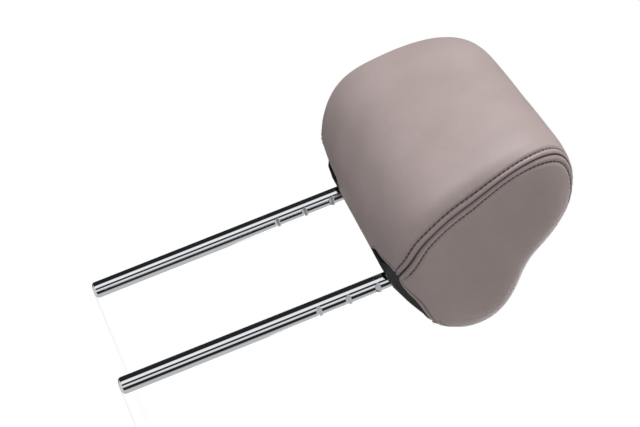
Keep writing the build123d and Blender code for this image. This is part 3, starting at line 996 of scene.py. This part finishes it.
# ------------------------------------------------------------------ posts
@dataclass
class PostFrame:
    """The chromed bar: two posts joined by a cross bar, with rounded tips and three notches on each post.

    A circle is carried along the bar's centre line. Where a notch is cut, the circle is flattened on its
    +X side: the distance from the centre line is at most (radius - depth) / cos(angle from +X).
    """

    spacing: float = 140.0
    tip_round: float = 3.0
    bend: float = 25.0
    notch_reach: tuple[float, ...] = (167.5, 192.5, 217.5)
    notch_depth: float = 2.0
    notch_floor: float = 2.0
    upper_ramp: float = 0.6
    lower_ramp: float = 2.0
    corners: int = 96

    def depth(self, z: np.ndarray, tip: float) -> np.ndarray:
        """Depth of the notches at a height.

        It is full over each floor, and falls along a short ramp above and a long one below.

        Args:
            z: Heights.
            tip: Height of the tips.

        Returns:
            The depth at each height.
        """
        depth = np.zeros_like(z)
        for reach in self.notch_reach:
            off = z - (tip + reach)
            above = 1 - (off - self.notch_floor / 2) / self.upper_ramp
            below = 1 - (-off - self.notch_floor / 2) / self.lower_ramp
            depth = np.maximum(depth, self.notch_depth * np.clip(np.minimum(above, below), 0, 1))
        return depth

    def leg_heights(self, tip: float, shoulder: float) -> np.ndarray:
        """Heights of the leg's rings above its rounded tip, close together at the notches.

        Args:
            tip: Height of the tip.
            shoulder: Height at which the bend starts.

        Returns:
            The heights, rising.
        """
        marks = [np.linspace(tip + self.tip_round, shoulder, 60)]
        marks += [np.arange(tip + reach - 3.5, tip + reach + 2.2, 0.2) for reach in self.notch_reach]
        return np.unique(np.round(np.concatenate(marks), 3))

    def _centre_line(self, tip: float, bar_height: float) -> tuple[np.ndarray, ...]:
        """The bar's centre line between its rounded tips, up the right leg, across and down the left leg.

        Args:
            tip: Height of the tips.
            bar_height: Height of the cross bar's axis.

        Returns:
            X and Z of its points, the angle of the bend's outer side there, and 1 on a leg or 0 elsewhere.
        """
        half, shoulder = self.spacing / 2, bar_height - self.bend
        inner = half - self.bend
        bow = np.radians(np.arange(0, 91, 5.0))[1:-1]
        rise = self.leg_heights(tip, shoulder)
        flat = np.linspace(inner, -inner, 30)
        ones = np.ones_like
        x = np.concatenate([half * ones(rise), inner + self.bend * np.cos(bow), flat,
                            -inner - self.bend * np.sin(bow), -half * ones(rise)])
        z = np.concatenate([rise, shoulder + self.bend * np.sin(bow), bar_height * ones(flat),
                            shoulder + self.bend * np.cos(bow), rise[::-1]])
        outward = np.concatenate([0 * rise, bow, np.pi / 2 * ones(flat), np.pi / 2 + bow, np.pi + 0 * rise])
        leg = np.concatenate([ones(rise), 0 * bow, 0 * flat, 0 * bow, ones(rise)])
        return x, z, outward, leg

    def _tip_rings(self, centre: float, turned: float, tip: float, radius: float,
                   angle: np.ndarray) -> np.ndarray:
        """Rings of a leg's flat end and rounded edge, from the middle of the end outwards.

        Args:
            centre: X of the leg.
            turned: 1 or -1, the sense in which the rings run.
            tip: Height of the tip.
            radius: The bar's radius.
            angle: Angles of the rings' corners.

        Returns:
            Points by ring and corner.
        """
        turn = np.radians(np.arange(0, 90, 10.0))
        ring = radius - self.tip_round + self.tip_round * np.sin(turn)
        ring = np.concatenate([[0.02, 2.0], ring])[:, None]
        drop = np.concatenate([[0.0, 0.0], self.tip_round * (1 - np.cos(turn))])
        x = centre + turned * ring * np.cos(angle)
        return np.stack([x, ring * np.sin(angle), tip + drop[:, None] + 0 * angle[None]], -1)

    def build(self) -> bpy.types.Object:
        """Makes the bar between the CAD frame's tips and the top of its cross bar.

        Returns:
            The bar.
        """
        low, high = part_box("post_frame")
        tip, radius = low.z / MM, (high.y - low.y) / 2 / MM
        half = self.spacing / 2
        x, z, outward, leg = self._centre_line(tip, high.z / MM - radius)
        angle = 2 * np.pi * np.arange(self.corners) / self.corners
        cut = self.depth(z, tip) * leg
        side_x = np.cos(outward)[:, None] * np.cos(angle)
        side_z = np.sin(outward)[:, None] * np.cos(angle)
        side_y = np.broadcast_to(np.sin(angle), side_x.shape)
        limit = (radius - cut)[:, None] / np.maximum(side_x, 1e-6)
        reach = np.where(side_x > 1e-3, np.minimum(radius, limit), radius)
        body = np.stack([x[:, None] + reach * side_x, reach * side_y, z[:, None] + reach * side_z], -1)
        start = self._tip_rings(half, 1, tip, radius, angle)
        end = self._tip_rings(-half, -1, tip, radius, angle)[::-1]
        points = np.concatenate([start, body, end]) * MM
        rows = len(points)
        quads, _ = grid_faces(self.corners, rows, True)
        numbers = np.arange(rows * self.corners).reshape(rows, self.corners).T.reshape(-1)
        caps = np.stack([np.arange(self.corners)[::-1], (rows - 1) * self.corners + np.arange(self.corners)])
        run = np.cumsum(np.concatenate([[0], np.linalg.norm(np.diff(points[:, 0], axis=0), axis=-1)]))
        uv = np.stack([np.repeat(run, self.corners), np.tile(angle * radius * MM, rows)], -1)
        faces = [numbers[quads], caps]
        flat_points = points.reshape(-1, 3)
        uvs = [uv[f] for f in faces]
        piece = make_mesh("chromed_bar", flat_points, faces, uvs, np.zeros(len(flat_points)))
        piece.data.set_sharp_from_angle(angle=math.radians(22))
        return piece

    def dress(self, piece: bpy.types.Object, chrome: bpy.types.Material) -> None:
        """Gives the bar its plating, fixes it to the posts and hides the CAD frame that it stands for.

        Args:
            piece: The bar.
            chrome: Its plating.
        """
        piece.data.materials.append(chrome)
        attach(piece, "posts")
        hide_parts("post_frame")


# ------------------------------------------------------------------ finishes
class Nodes:
    """Short ways to add and join nodes in one node tree."""

    def __init__(self, tree: bpy.types.NodeTree) -> None:
        """Takes the tree to work in."""
        self.tree = tree

    def add(self, kind: str, values: dict | None = None, **settings: object) -> bpy.types.Node:
        """Adds a node.

        Args:
            kind: Blender's name of the node type, without its ShaderNode prefix.
            values: Socket name or number to a value, or to an output socket to link.
            **settings: The node's own settings.

        Returns:
            The node.
        """
        node = self.tree.nodes.new("ShaderNode" + kind)
        for key, value in settings.items():
            setattr(node, key, value)
        for key, value in (values or {}).items():
            socket = node.inputs[key]
            if isinstance(value, bpy.types.NodeSocket):
                self.tree.links.new(value, socket)
            else:
                socket.default_value = value
        return node

    def math(self, operation: str, *values: object) -> bpy.types.NodeSocket:
        """The result of one arithmetic step on numbers or sockets."""
        return self.add("Math", dict(enumerate(values)), operation=operation).outputs[0]

    def mix(self, share: object, first: object, second: object) -> bpy.types.NodeSocket:
        """Two colours mixed by a share."""
        return self.add("Mix", {0: share, 6: first, 7: second}, data_type="RGBA").outputs[2]

    def spread(self, value: bpy.types.NodeSocket, low: float, high: float, to_low: float,
               to_high: float) -> bpy.types.NodeSocket:
        """A value carried linearly from one range to another, and kept inside it."""
        return self.add("MapRange", {0: value, 1: low, 2: high, 3: to_low, 4: to_high}).outputs[0]


def new_group(name: str, inputs: dict[str, float],
              outputs: list[str]) -> tuple[bpy.types.NodeTree, Nodes, bpy.types.Node, bpy.types.Node]:
    """An empty node group with named number sockets.

    Args:
        name: The group's name.
        inputs: Input names and their usual values.
        outputs: Output names.

    Returns:
        The group, its helper, and its input and output nodes.
    """
    tree = bpy.data.node_groups.new(name, "ShaderNodeTree")
    for key, value in inputs.items():
        socket = tree.interface.new_socket(name=key, in_out="INPUT", socket_type="NodeSocketFloat")
        socket.default_value = value
    for key in outputs:
        tree.interface.new_socket(name=key, in_out="OUTPUT", socket_type="NodeSocketFloat")
    return tree, Nodes(tree), tree.nodes.new("NodeGroupInput"), tree.nodes.new("NodeGroupOutput")


def uneven_finish_group() -> bpy.types.NodeTree:
    """Cloudy variation that every finish uses: two sizes of noise on Object coordinates.

    Returns:
        A group with Scale and Contrast inputs, and Mask and Fine outputs from 0 to 1.
    """
    inputs = {"Scale": 30.0, "Contrast": 1.0}
    tree, nodes, given, result = new_group("uneven_finish", inputs, ["Mask", "Fine"])
    place = nodes.add("TexCoord").outputs["Object"]
    scale = given.outputs["Scale"]
    large = nodes.add("TexNoise", {"Vector": place, "Scale": scale, "Detail": 4.0, "Roughness": 0.55})
    finer = nodes.math("MULTIPLY", scale, 9.0)
    small = nodes.add("TexNoise", {"Vector": place, "Scale": finer, "Detail": 3.0, "Roughness": 0.6})
    centred = nodes.math("SUBTRACT", large.outputs[0], 0.5)
    contrast = nodes.math("MULTIPLY", given.outputs["Contrast"], 2.2)
    mask = nodes.math("ADD", nodes.math("MULTIPLY", centred, contrast), 0.5)
    tree.links.new(nodes.spread(mask, 0, 1, 0, 1), result.inputs["Mask"])
    tree.links.new(small.outputs[0], result.inputs["Fine"])
    return tree


def fine_surface_group(pattern: Pattern) -> bpy.types.NodeTree:
    """Height of one kind of fine surface on Object coordinates.

    Args:
        pattern: The kind of surface.

    Returns:
        A group with a Scale input and a Height output from 0 to 1.
    """
    tree, nodes, given, result = new_group("fine_surface_" + pattern.value, {"Scale": 1000.0}, ["Height"])
    place = nodes.add("TexCoord").outputs["Object"]
    scale = given.outputs["Scale"]
    if pattern is Pattern.MOULDED:
        cells = nodes.add("TexVoronoi", {"Vector": place, "Scale": scale}, feature="SMOOTH_F1")
        height = nodes.math("SUBTRACT", 1.0, cells.outputs["Distance"])
    elif pattern is Pattern.BRUSHED:
        long = nodes.add("VectorMath", {0: place, 1: (1.0, 0.06, 1.0)}, operation="MULTIPLY").outputs[0]
        height = nodes.add("TexNoise", {"Vector": long, "Scale": scale, "Detail": 3.0}).outputs[0]
    elif pattern is Pattern.CELLS:
        cells = nodes.add("TexVoronoi", {"Vector": place, "Scale": scale}, feature="DISTANCE_TO_EDGE")
        height = nodes.spread(cells.outputs["Distance"], 0.0, 0.35, 1.0, 0.0)
    elif pattern is Pattern.WOVEN:
        over = nodes.add("TexWave", {"Vector": place, "Scale": scale}, bands_direction="Y").outputs["Fac"]
        under = nodes.add("TexWave", {"Vector": place, "Scale": scale}, bands_direction="Z").outputs["Fac"]
        height = nodes.math("MAXIMUM", over, under)
    else:
        height = nodes.add("TexNoise", {"Vector": place, "Scale": scale, "Detail": 2.0}).outputs[0]
    tree.links.new(height, result.inputs["Height"])
    return tree


class Workshop:
    """Keeps the shared node groups, each built once."""

    def __init__(self) -> None:
        """Starts with no groups."""
        self._groups: dict[str, bpy.types.NodeTree] = {}

    def uneven(self, nodes: Nodes, scale: float, contrast: float = 1.0) -> bpy.types.Node:
        """Places the cloudy variation in a material.

        Args:
            nodes: The material's nodes.
            scale: The clouds' scale.
            contrast: How far the mask swings.

        Returns:
            The group's node.
        """
        if "uneven" not in self._groups:
            self._groups["uneven"] = uneven_finish_group()
        node = nodes.tree.nodes.new("ShaderNodeGroup")
        node.node_tree = self._groups["uneven"]
        node.inputs["Scale"].default_value = scale
        node.inputs["Contrast"].default_value = contrast
        return node

    def surface(self, nodes: Nodes, pattern: Pattern, scale: float) -> bpy.types.NodeSocket:
        """Places a fine surface in a material.

        Args:
            nodes: The material's nodes.
            pattern: The kind of surface.
            scale: Its scale.

        Returns:
            Its height, from 0 to 1.
        """
        if pattern.value not in self._groups:
            self._groups[pattern.value] = fine_surface_group(pattern)
        node = nodes.tree.nodes.new("ShaderNodeGroup")
        node.node_tree = self._groups[pattern.value]
        node.inputs["Scale"].default_value = scale
        return node.outputs["Height"]


def new_material(name: str) -> tuple[bpy.types.Material, Nodes, bpy.types.Node]:
    """A material with only a Principled shader and its output.

    Args:
        name: The material's name.

    Returns:
        The material, a helper for its nodes, and its shader.
    """
    material = bpy.data.materials.new(name)
    material.use_nodes = True
    nodes = Nodes(material.node_tree)
    shader = next(n for n in material.node_tree.nodes if n.type == "BSDF_PRINCIPLED")
    return material, nodes, shader


@dataclass(frozen=True)
class LeatherFinish:
    """Fine-grained semi-matt leather: pebbled grain with pores between, cloudy colour, and painted shade that
    darkens the creases.
    """

    colour: tuple[float, float, float, float] = (0.455, 0.374, 0.364, 1)
    deep_colour: tuple[float, float, float, float] = (0.405, 0.328, 0.316, 1)
    pore_colour: tuple[float, float, float, float] = (0.27, 0.215, 0.205, 1)
    # painted shade: the near-black colour laid into seam valleys, stitch grooves and hem folds
    crease_colour: tuple[float, float, float, float] = (0.05, 0.036, 0.031, 1)
    grain_scale: float = 780.0
    roughness: float = 0.47

    def make(self, shop: Workshop) -> bpy.types.Material:
        """Builds the material.

        Args:
            shop: The shared node groups.

        Returns:
            The material.
        """
        material, nodes, shader = new_material("taupe_leather")
        place = nodes.add("TexCoord").outputs["Object"]
        uneven = shop.uneven(nodes, 22.0)
        warp = nodes.add("TexNoise", {"Vector": place, "Scale": 500.0, "Detail": 2.0}).outputs["Color"]
        warp = nodes.add("VectorMath", {0: warp, 1: 3 * (0.0009,)}, operation="MULTIPLY").outputs[0]
        bent = nodes.add("VectorMath", {0: place, 1: warp}, operation="ADD").outputs[0]
        grain = {"Vector": bent, "Scale": self.grain_scale}
        pebbles = nodes.add("TexVoronoi", grain, feature="DISTANCE_TO_EDGE")
        pebble = nodes.spread(pebbles.outputs["Distance"], 0.0, 0.22, 0.0, 1.0)
        fine = nodes.add("TexNoise", {"Vector": place, "Scale": 3200.0, "Detail": 3.0, "Roughness": 0.6})
        pattern = nodes.add("UVMap", uv_map="pattern").outputs[0]
        parts = nodes.add("SeparateXYZ", {0: pattern})
        stretched = nodes.add("CombineXYZ", {0: nodes.math("MULTIPLY", parts.outputs[0], 260.0),
                                             1: nodes.math("MULTIPLY", parts.outputs[1], 34.0)}).outputs[0]
        pulls = nodes.add("TexNoise", {"Vector": stretched, "Scale": 1.0, "Detail": 4.0, "Roughness": 0.62})
        close = nodes.spread(parts.outputs[1], 0.0, 0.030, 1.0, 0.0)
        pulls = nodes.math("MULTIPLY", pulls.outputs[0], close)
        crease = nodes.add("Attribute", attribute_name="crease").outputs["Fac"]
        colour = nodes.mix(uneven.outputs["Mask"], self.deep_colour, self.colour)
        shade = nodes.spread(pebble, 0.0, 1.0, 0.86, 1.0)
        colour = nodes.mix(shade, self.pore_colour, colour)
        # painted shade: the crease depth darkens the leather towards near black in seam valleys, stitch grooves
        # and rolled hems
        colour = nodes.mix(nodes.math("POWER", crease, 1.3), colour, self.crease_colour)
        rough = nodes.math("ADD", self.roughness, nodes.math("MULTIPLY", uneven.outputs["Fine"], 0.12))
        rough = nodes.math("SUBTRACT", rough, nodes.math("MULTIPLY", pebble, 0.06))
        nodes.tree.links.new(colour, shader.inputs["Base Color"])
        nodes.tree.links.new(rough, shader.inputs["Roughness"])
        shader.inputs["Specular IOR Level"].default_value = 0.42
        shader.inputs["Sheen Weight"].default_value = 0.04
        shader.inputs["Sheen Roughness"].default_value = 0.45
        fine_height = nodes.math("MULTIPLY", fine.outputs[0], 0.35)
        height = nodes.math("ADD", nodes.math("MULTIPLY", pebble, 0.8), fine_height)
        bump = nodes.add("Bump", {"Height": height, "Strength": 0.35, "Distance": 0.00022})
        bump = nodes.add("Bump", {"Height": pulls, "Strength": 0.35, "Distance": 0.0008,
                                  "Normal": bump.outputs[0]})
        nodes.tree.links.new(bump.outputs[0], shader.inputs["Normal"])
        return material


@dataclass(frozen=True)
class ThreadFinish:
    """Bonded sewing thread: dark brown, with the twist of its plies across each stitch."""

    colour: tuple[float, float, float, float] = (0.040, 0.024, 0.019, 1)
    worn_colour: tuple[float, float, float, float] = (0.085, 0.055, 0.045, 1)
    twist: float = 150.0

    def make(self, shop: Workshop) -> bpy.types.Material:
        """Builds the material.

        Args:
            shop: The shared node groups.

        Returns:
            The material.
        """
        material, nodes, shader = new_material("brown_thread")
        pattern = nodes.add("UVMap", uv_map="pattern").outputs[0]
        wave = {"Vector": pattern, "Scale": self.twist, "Distortion": 0.6, "Detail": 1.0}
        plies = nodes.add("TexWave", wave, bands_direction="DIAGONAL").outputs["Fac"]
        uneven = shop.uneven(nodes, 160.0)
        worn = nodes.math("MULTIPLY", plies, uneven.outputs["Mask"])
        nodes.tree.links.new(nodes.mix(worn, self.colour, self.worn_colour), shader.inputs["Base Color"])
        rough = nodes.spread(uneven.outputs["Fine"], 0.3, 0.7, 0.5, 0.68)
        nodes.tree.links.new(rough, shader.inputs["Roughness"])
        shader.inputs["Sheen Weight"].default_value = 0.15
        bump = nodes.add("Bump", {"Height": plies, "Strength": 0.5, "Distance": 0.0001})
        nodes.tree.links.new(bump.outputs[0], shader.inputs["Normal"])
        return material


@dataclass(frozen=True)
class HardFinish:
    """A plated, moulded or foamed finish from two colours, a fine surface and a cloudy variation of both."""

    name: str
    colour: tuple[float, float, float, float]
    second_colour: tuple[float, float, float, float]
    pattern: Pattern
    pattern_scale: float
    roughness: tuple[float, float]
    bump: float
    depth: float
    metallic: float = 0.0
    specular: float = 0.5
    cloud_scale: float = 40.0

    def make(self, shop: Workshop) -> bpy.types.Material:
        """Builds the material.

        Args:
            shop: The shared node groups.

        Returns:
            The material.
        """
        material, nodes, shader = new_material(self.name)
        uneven = shop.uneven(nodes, self.cloud_scale)
        height = shop.surface(nodes, self.pattern, self.pattern_scale)
        mask = nodes.math("MULTIPLY", uneven.outputs["Mask"], nodes.spread(height, 0.0, 1.0, 0.6, 1.0))
        nodes.tree.links.new(nodes.mix(mask, self.colour, self.second_colour), shader.inputs["Base Color"])
        smudge = nodes.math("MULTIPLY", uneven.outputs["Mask"], uneven.outputs["Fine"])
        rough = nodes.spread(smudge, 0.1, 0.6, *self.roughness)
        nodes.tree.links.new(rough, shader.inputs["Roughness"])
        shader.inputs["Metallic"].default_value = self.metallic
        shader.inputs["Specular IOR Level"].default_value = self.specular
        bump = nodes.add("Bump", {"Height": height, "Strength": self.bump, "Distance": self.depth})
        nodes.tree.links.new(bump.outputs[0], shader.inputs["Normal"])
        return material


class Finishes(Enum):
    """The hard and hidden finishes, by the record's slot."""

    CHROME = HardFinish("polished_chrome", (0.84, 0.85, 0.87, 1), (0.78, 0.80, 0.83, 1),
                        Pattern.ORANGE_PEEL, 240.0, (0.03, 0.065), 0.03, 0.00003, metallic=1.0,
                        cloud_scale=35.0)
    STEEL = HardFinish("zinc_steel", (0.55, 0.56, 0.58, 1), (0.42, 0.44, 0.45, 1),
                       Pattern.BRUSHED, 2200.0, (0.28, 0.42), 0.2, 0.00005, metallic=1.0)
    SPRING_STEEL = HardFinish("phosphated_steel", (0.16, 0.16, 0.17, 1), (0.09, 0.09, 0.1, 1),
                              Pattern.ORANGE_PEEL, 2500.0, (0.4, 0.55), 0.2, 0.00005, metallic=1.0)
    FOAM = HardFinish("moulded_foam", (0.72, 0.68, 0.55, 1), (0.6, 0.55, 0.42, 1),
                      Pattern.CELLS, 700.0, (0.85, 0.97), 0.8, 0.0006, specular=0.2)
    TAPE = HardFinish("woven_tape", (0.06, 0.06, 0.06, 1), (0.11, 0.11, 0.11, 1),
                      Pattern.WOVEN, 260.0, (0.7, 0.85), 0.7, 0.0003, specular=0.3)
    SHELL_PLASTIC = HardFinish("shell_plastic", (0.035, 0.035, 0.037, 1), (0.05, 0.05, 0.052, 1),
                               Pattern.MOULDED, 1500.0, (0.42, 0.55), 0.3, 0.00008)
    COVER_PLASTIC = HardFinish("cover_plastic", (0.006, 0.006, 0.007, 1), (0.010, 0.010, 0.011, 1),
                               Pattern.MOULDED, 1400.0, (0.34, 0.46), 0.10, 0.00004, specular=0.14)
    BUSH_PLASTIC = HardFinish("acetal", (0.72, 0.71, 0.67, 1), (0.66, 0.65, 0.6, 1),
                              Pattern.ORANGE_PEEL, 900.0, (0.3, 0.42), 0.1, 0.00005)


@dataclass
class CarriedParts:
    """The CAD nodes that stay as they are, and those that a made piece stands for."""

    shop: Workshop

    def dress(self) -> dict[str, bpy.types.Material]:
        """Gives every carried-over node the finish of its slot in the record.

        Returns:
            The hard finishes' materials by slot.
        """
        made = {f.name.lower(): f.value.make(self.shop) for f in Finishes}
        for row in frame["record"]["subparts"]:
            node = frame["nodes"][row["node"]]
            if row["material_slot"] in made:
                node.data.materials.clear()
                node.data.materials.append(made[row["material_slot"]])
                LOG.info("dressed %s as %s", row["node"], row["material_slot"])
        return made


# ------------------------------------------------------------------ studio
@dataclass
class Studio:
    """A plain pale floor, soft lights and the camera."""

    sun_front: float = 2.75
    sun_side: float = 0.55
    sun_rear: float = 1.0
    ambient: float = 0.34
    shade: float = 0.42
    floor_glow: float = 0.62
    floor_half: float = 6.0
    floor_gap: float = 0.0006
    lens: float = 95.6
    camera_place: tuple[float, float, float] = (1.14695, -0.80497, -0.12772)
    camera_right: tuple[float, float, float] = (0.25606, 0.27149, 0.92775)
    camera_down: tuple[float, float, float] = (0.49777, 0.78569, -0.36730)
    camera_forward: tuple[float, float, float] = (-0.82865, 0.55586, 0.06604)
    bands: tuple[tuple[float, float], ...] = (
        (-180, 0.02), (-95, 0.02), (-90, 0.95), (-58, 1.0), (-54, 0.03), (-33, 0.03), (-29, 0.9), (-8, 0.75),
        (-4, 0.02), (31, 0.02), (37, 0.5), (70, 0.62), (112, 0.5), (134, 0.3), (146, 0.04), (180, 0.02))

    def build(self) -> None:
        """Makes the floor, lights, surroundings and camera."""
        self._floor()
        self._sun("front_light", (-0.36, -1.0, 0.46), self.sun_front, 35)
        self._sun("side_light", (1.0, -0.25, 0.65), self.sun_side, 40)
        self._sun("rear_light", (-0.3, 1.0, 0.5), self.sun_rear, 50)
        self._surroundings()
        self._camera()

    def _floor(self) -> None:
        """A wide pale floor just under the post tips."""
        low = CAD_BOX[0]
        corners = self.floor_half * np.array([[-1, -1], [1, -1], [1, 1], [-1, 1]])
        points = np.column_stack([corners, np.full(4, low.z - self.floor_gap)])
        quad = np.array([[0, 1, 2, 3]])
        floor = make_mesh("floor", points, [quad], [corners[quad]], np.zeros(4))
        material, nodes, shader = new_material("pale_floor")
        shader.inputs["Base Color"].default_value = (0.45, 0.45, 0.45, 1)
        shader.inputs["Roughness"].default_value = 0.9
        shader.inputs["Specular IOR Level"].default_value = 0.0
        shader.inputs["Emission Color"].default_value = (1, 1, 1, 1)
        seen = nodes.math("MULTIPLY", nodes.add("LightPath").outputs["Is Camera Ray"], self.floor_glow)
        nodes.tree.links.new(seen, shader.inputs["Emission Strength"])
        floor.data.materials.append(material)
        floor.visible_glossy = False

    def _sun(self, name: str, direction: tuple[float, float, float], power: float, softness: float) -> None:
        """Adds a soft light.

        Args:
            name: The light's name.
            direction: Where it stands, as seen from the object.
            power: Its strength.
            softness: Its angular size in degrees.
        """
        data = bpy.data.lights.new(name, "SUN")
        data.energy = power
        data.angle = math.radians(softness)
        lamp = bpy.data.objects.new(name, data)
        lamp.rotation_mode = "QUATERNION"
        lamp.rotation_quaternion = Vector(direction).to_track_quat("Z", "Y")
        bpy.context.scene.collection.objects.link(lamp)

    def _surroundings(self) -> None:
        """White where the camera looks past the object.

        Polished parts mirror upright white and black panels that stand round it, given as brightness
        against compass angle, and matt parts get a light that falls off downwards.
        """
        world = bpy.data.worlds.new("studio")
        bpy.context.scene.world = world
        world.use_nodes = True
        tree = world.node_tree
        tree.nodes.clear()
        nodes = Nodes(tree)
        parts = nodes.add("SeparateXYZ", {0: nodes.add("TexCoord").outputs["Generated"]})
        angle = nodes.math("ARCTAN2", parts.outputs[1], parts.outputs[0])
        place = nodes.spread(angle, -math.pi, math.pi, 0.0, 1.0)
        ramp = nodes.add("ValToRGB", {0: place})
        ramp.color_ramp.interpolation = "LINEAR"
        elements = ramp.color_ramp.elements
        while len(elements) > 1:
            elements.remove(elements[-1])
        top = max(b for _, b in self.bands)
        for number, (degrees, brightness) in enumerate(self.bands):
            at = (degrees + 180) / 360
            element = elements[0] if number == 0 else elements.new(at)
            element.position = at
            level = brightness / top
            element.color = (level * 0.985, level * 0.995, level, 1)
        steep = nodes.spread(nodes.math("ABSOLUTE", parts.outputs[2]), 0.55, 0.85, 0.0, 1.0)
        mirrored = nodes.mix(steep, ramp.outputs[0], (0.72, 0.72, 0.73, 1))
        ray = nodes.add("LightPath")
        mirror = nodes.add("Background", {0: mirrored, 1: top})
        upward = nodes.spread(parts.outputs[2], -0.8, 0.8, self.shade, 1.0)
        strength = nodes.math("MULTIPLY", upward, self.ambient)
        soft = nodes.add("Background", {0: (1, 0.99, 0.98, 1), 1: strength})
        white = nodes.add("Background", {0: (1, 1, 1, 1), 1: 1.0})
        glossy, seen = ray.outputs["Is Glossy Ray"], ray.outputs["Is Camera Ray"]
        first = nodes.add("MixShader", {0: glossy, 1: soft.outputs[0], 2: mirror.outputs[0]})
        second = nodes.add("MixShader", {0: seen, 1: first.outputs[0], 2: white.outputs[0]})
        nodes.add("OutputWorld", {0: second.outputs[0]})

    def _camera(self) -> None:
        """The camera, lying on its side as the object is seen lying down."""
        data = bpy.data.cameras.new("camera")
        data.lens = self.lens
        data.sensor_width = 36.0
        data.clip_start = 0.05
        data.clip_end = 50.0
        camera = bpy.data.objects.new("camera", data)
        axes = np.array([self.camera_right, self.camera_down, self.camera_forward])
        axes = axes * np.array([[1], [-1], [-1]])
        matrix = Matrix.Identity(4)
        for number in range(3):
            matrix.col[number][:3] = axes[number]
        matrix.translation = Vector(self.camera_place)
        camera.matrix_world = matrix
        bpy.context.scene.collection.objects.link(camera)
        bpy.context.scene.camera = camera
        bpy.context.scene.view_settings.view_transform = "Standard"


def main() -> None:
    """Builds the pieces in order, dresses them and sets up the studio."""
    logging.basicConfig(level=logging.INFO, format="%(name)s: %(message)s")
    shop = Workshop()
    hard = CarriedParts(shop).dress()
    form = CushionForm()
    line = SeamLine(form)
    leather = LeatherCover(form, line)
    panels = leather.build()
    leather.dress(panels, LeatherFinish().make(shop))
    stitching = Topstitching(form, line, leather.relief)
    thread = ThreadFinish().make(shop)
    threads = [stitching.build(side) for side in Side]
    for piece in threads:
        stitching.dress(piece, thread)
    filling = CushionFilling(form, line)
    core = filling.foam()
    filling.dress(core, "foam_pad", "foam", hard["foam"])
    tapes = [filling.tape(side) for side in Side]
    for side, tape in zip(Side, tapes):
        filling.dress(tape, f"{side.word}_seam_tape", "tape", hard["tape"])
    cover = HardCover()
    shell = cover.build()
    cover.dress(shell, hard["cover_plastic"])
    posts = PostFrame()
    bar = posts.build()
    posts.dress(bar, hard["chrome"])
    for piece in [*panels, *threads, core, *tapes, shell, bar]:
        LOG.info("built %s with %d faces", piece.name, len(piece.data.polygons))
    Studio().build()


if __name__ == "__main__":
    main()
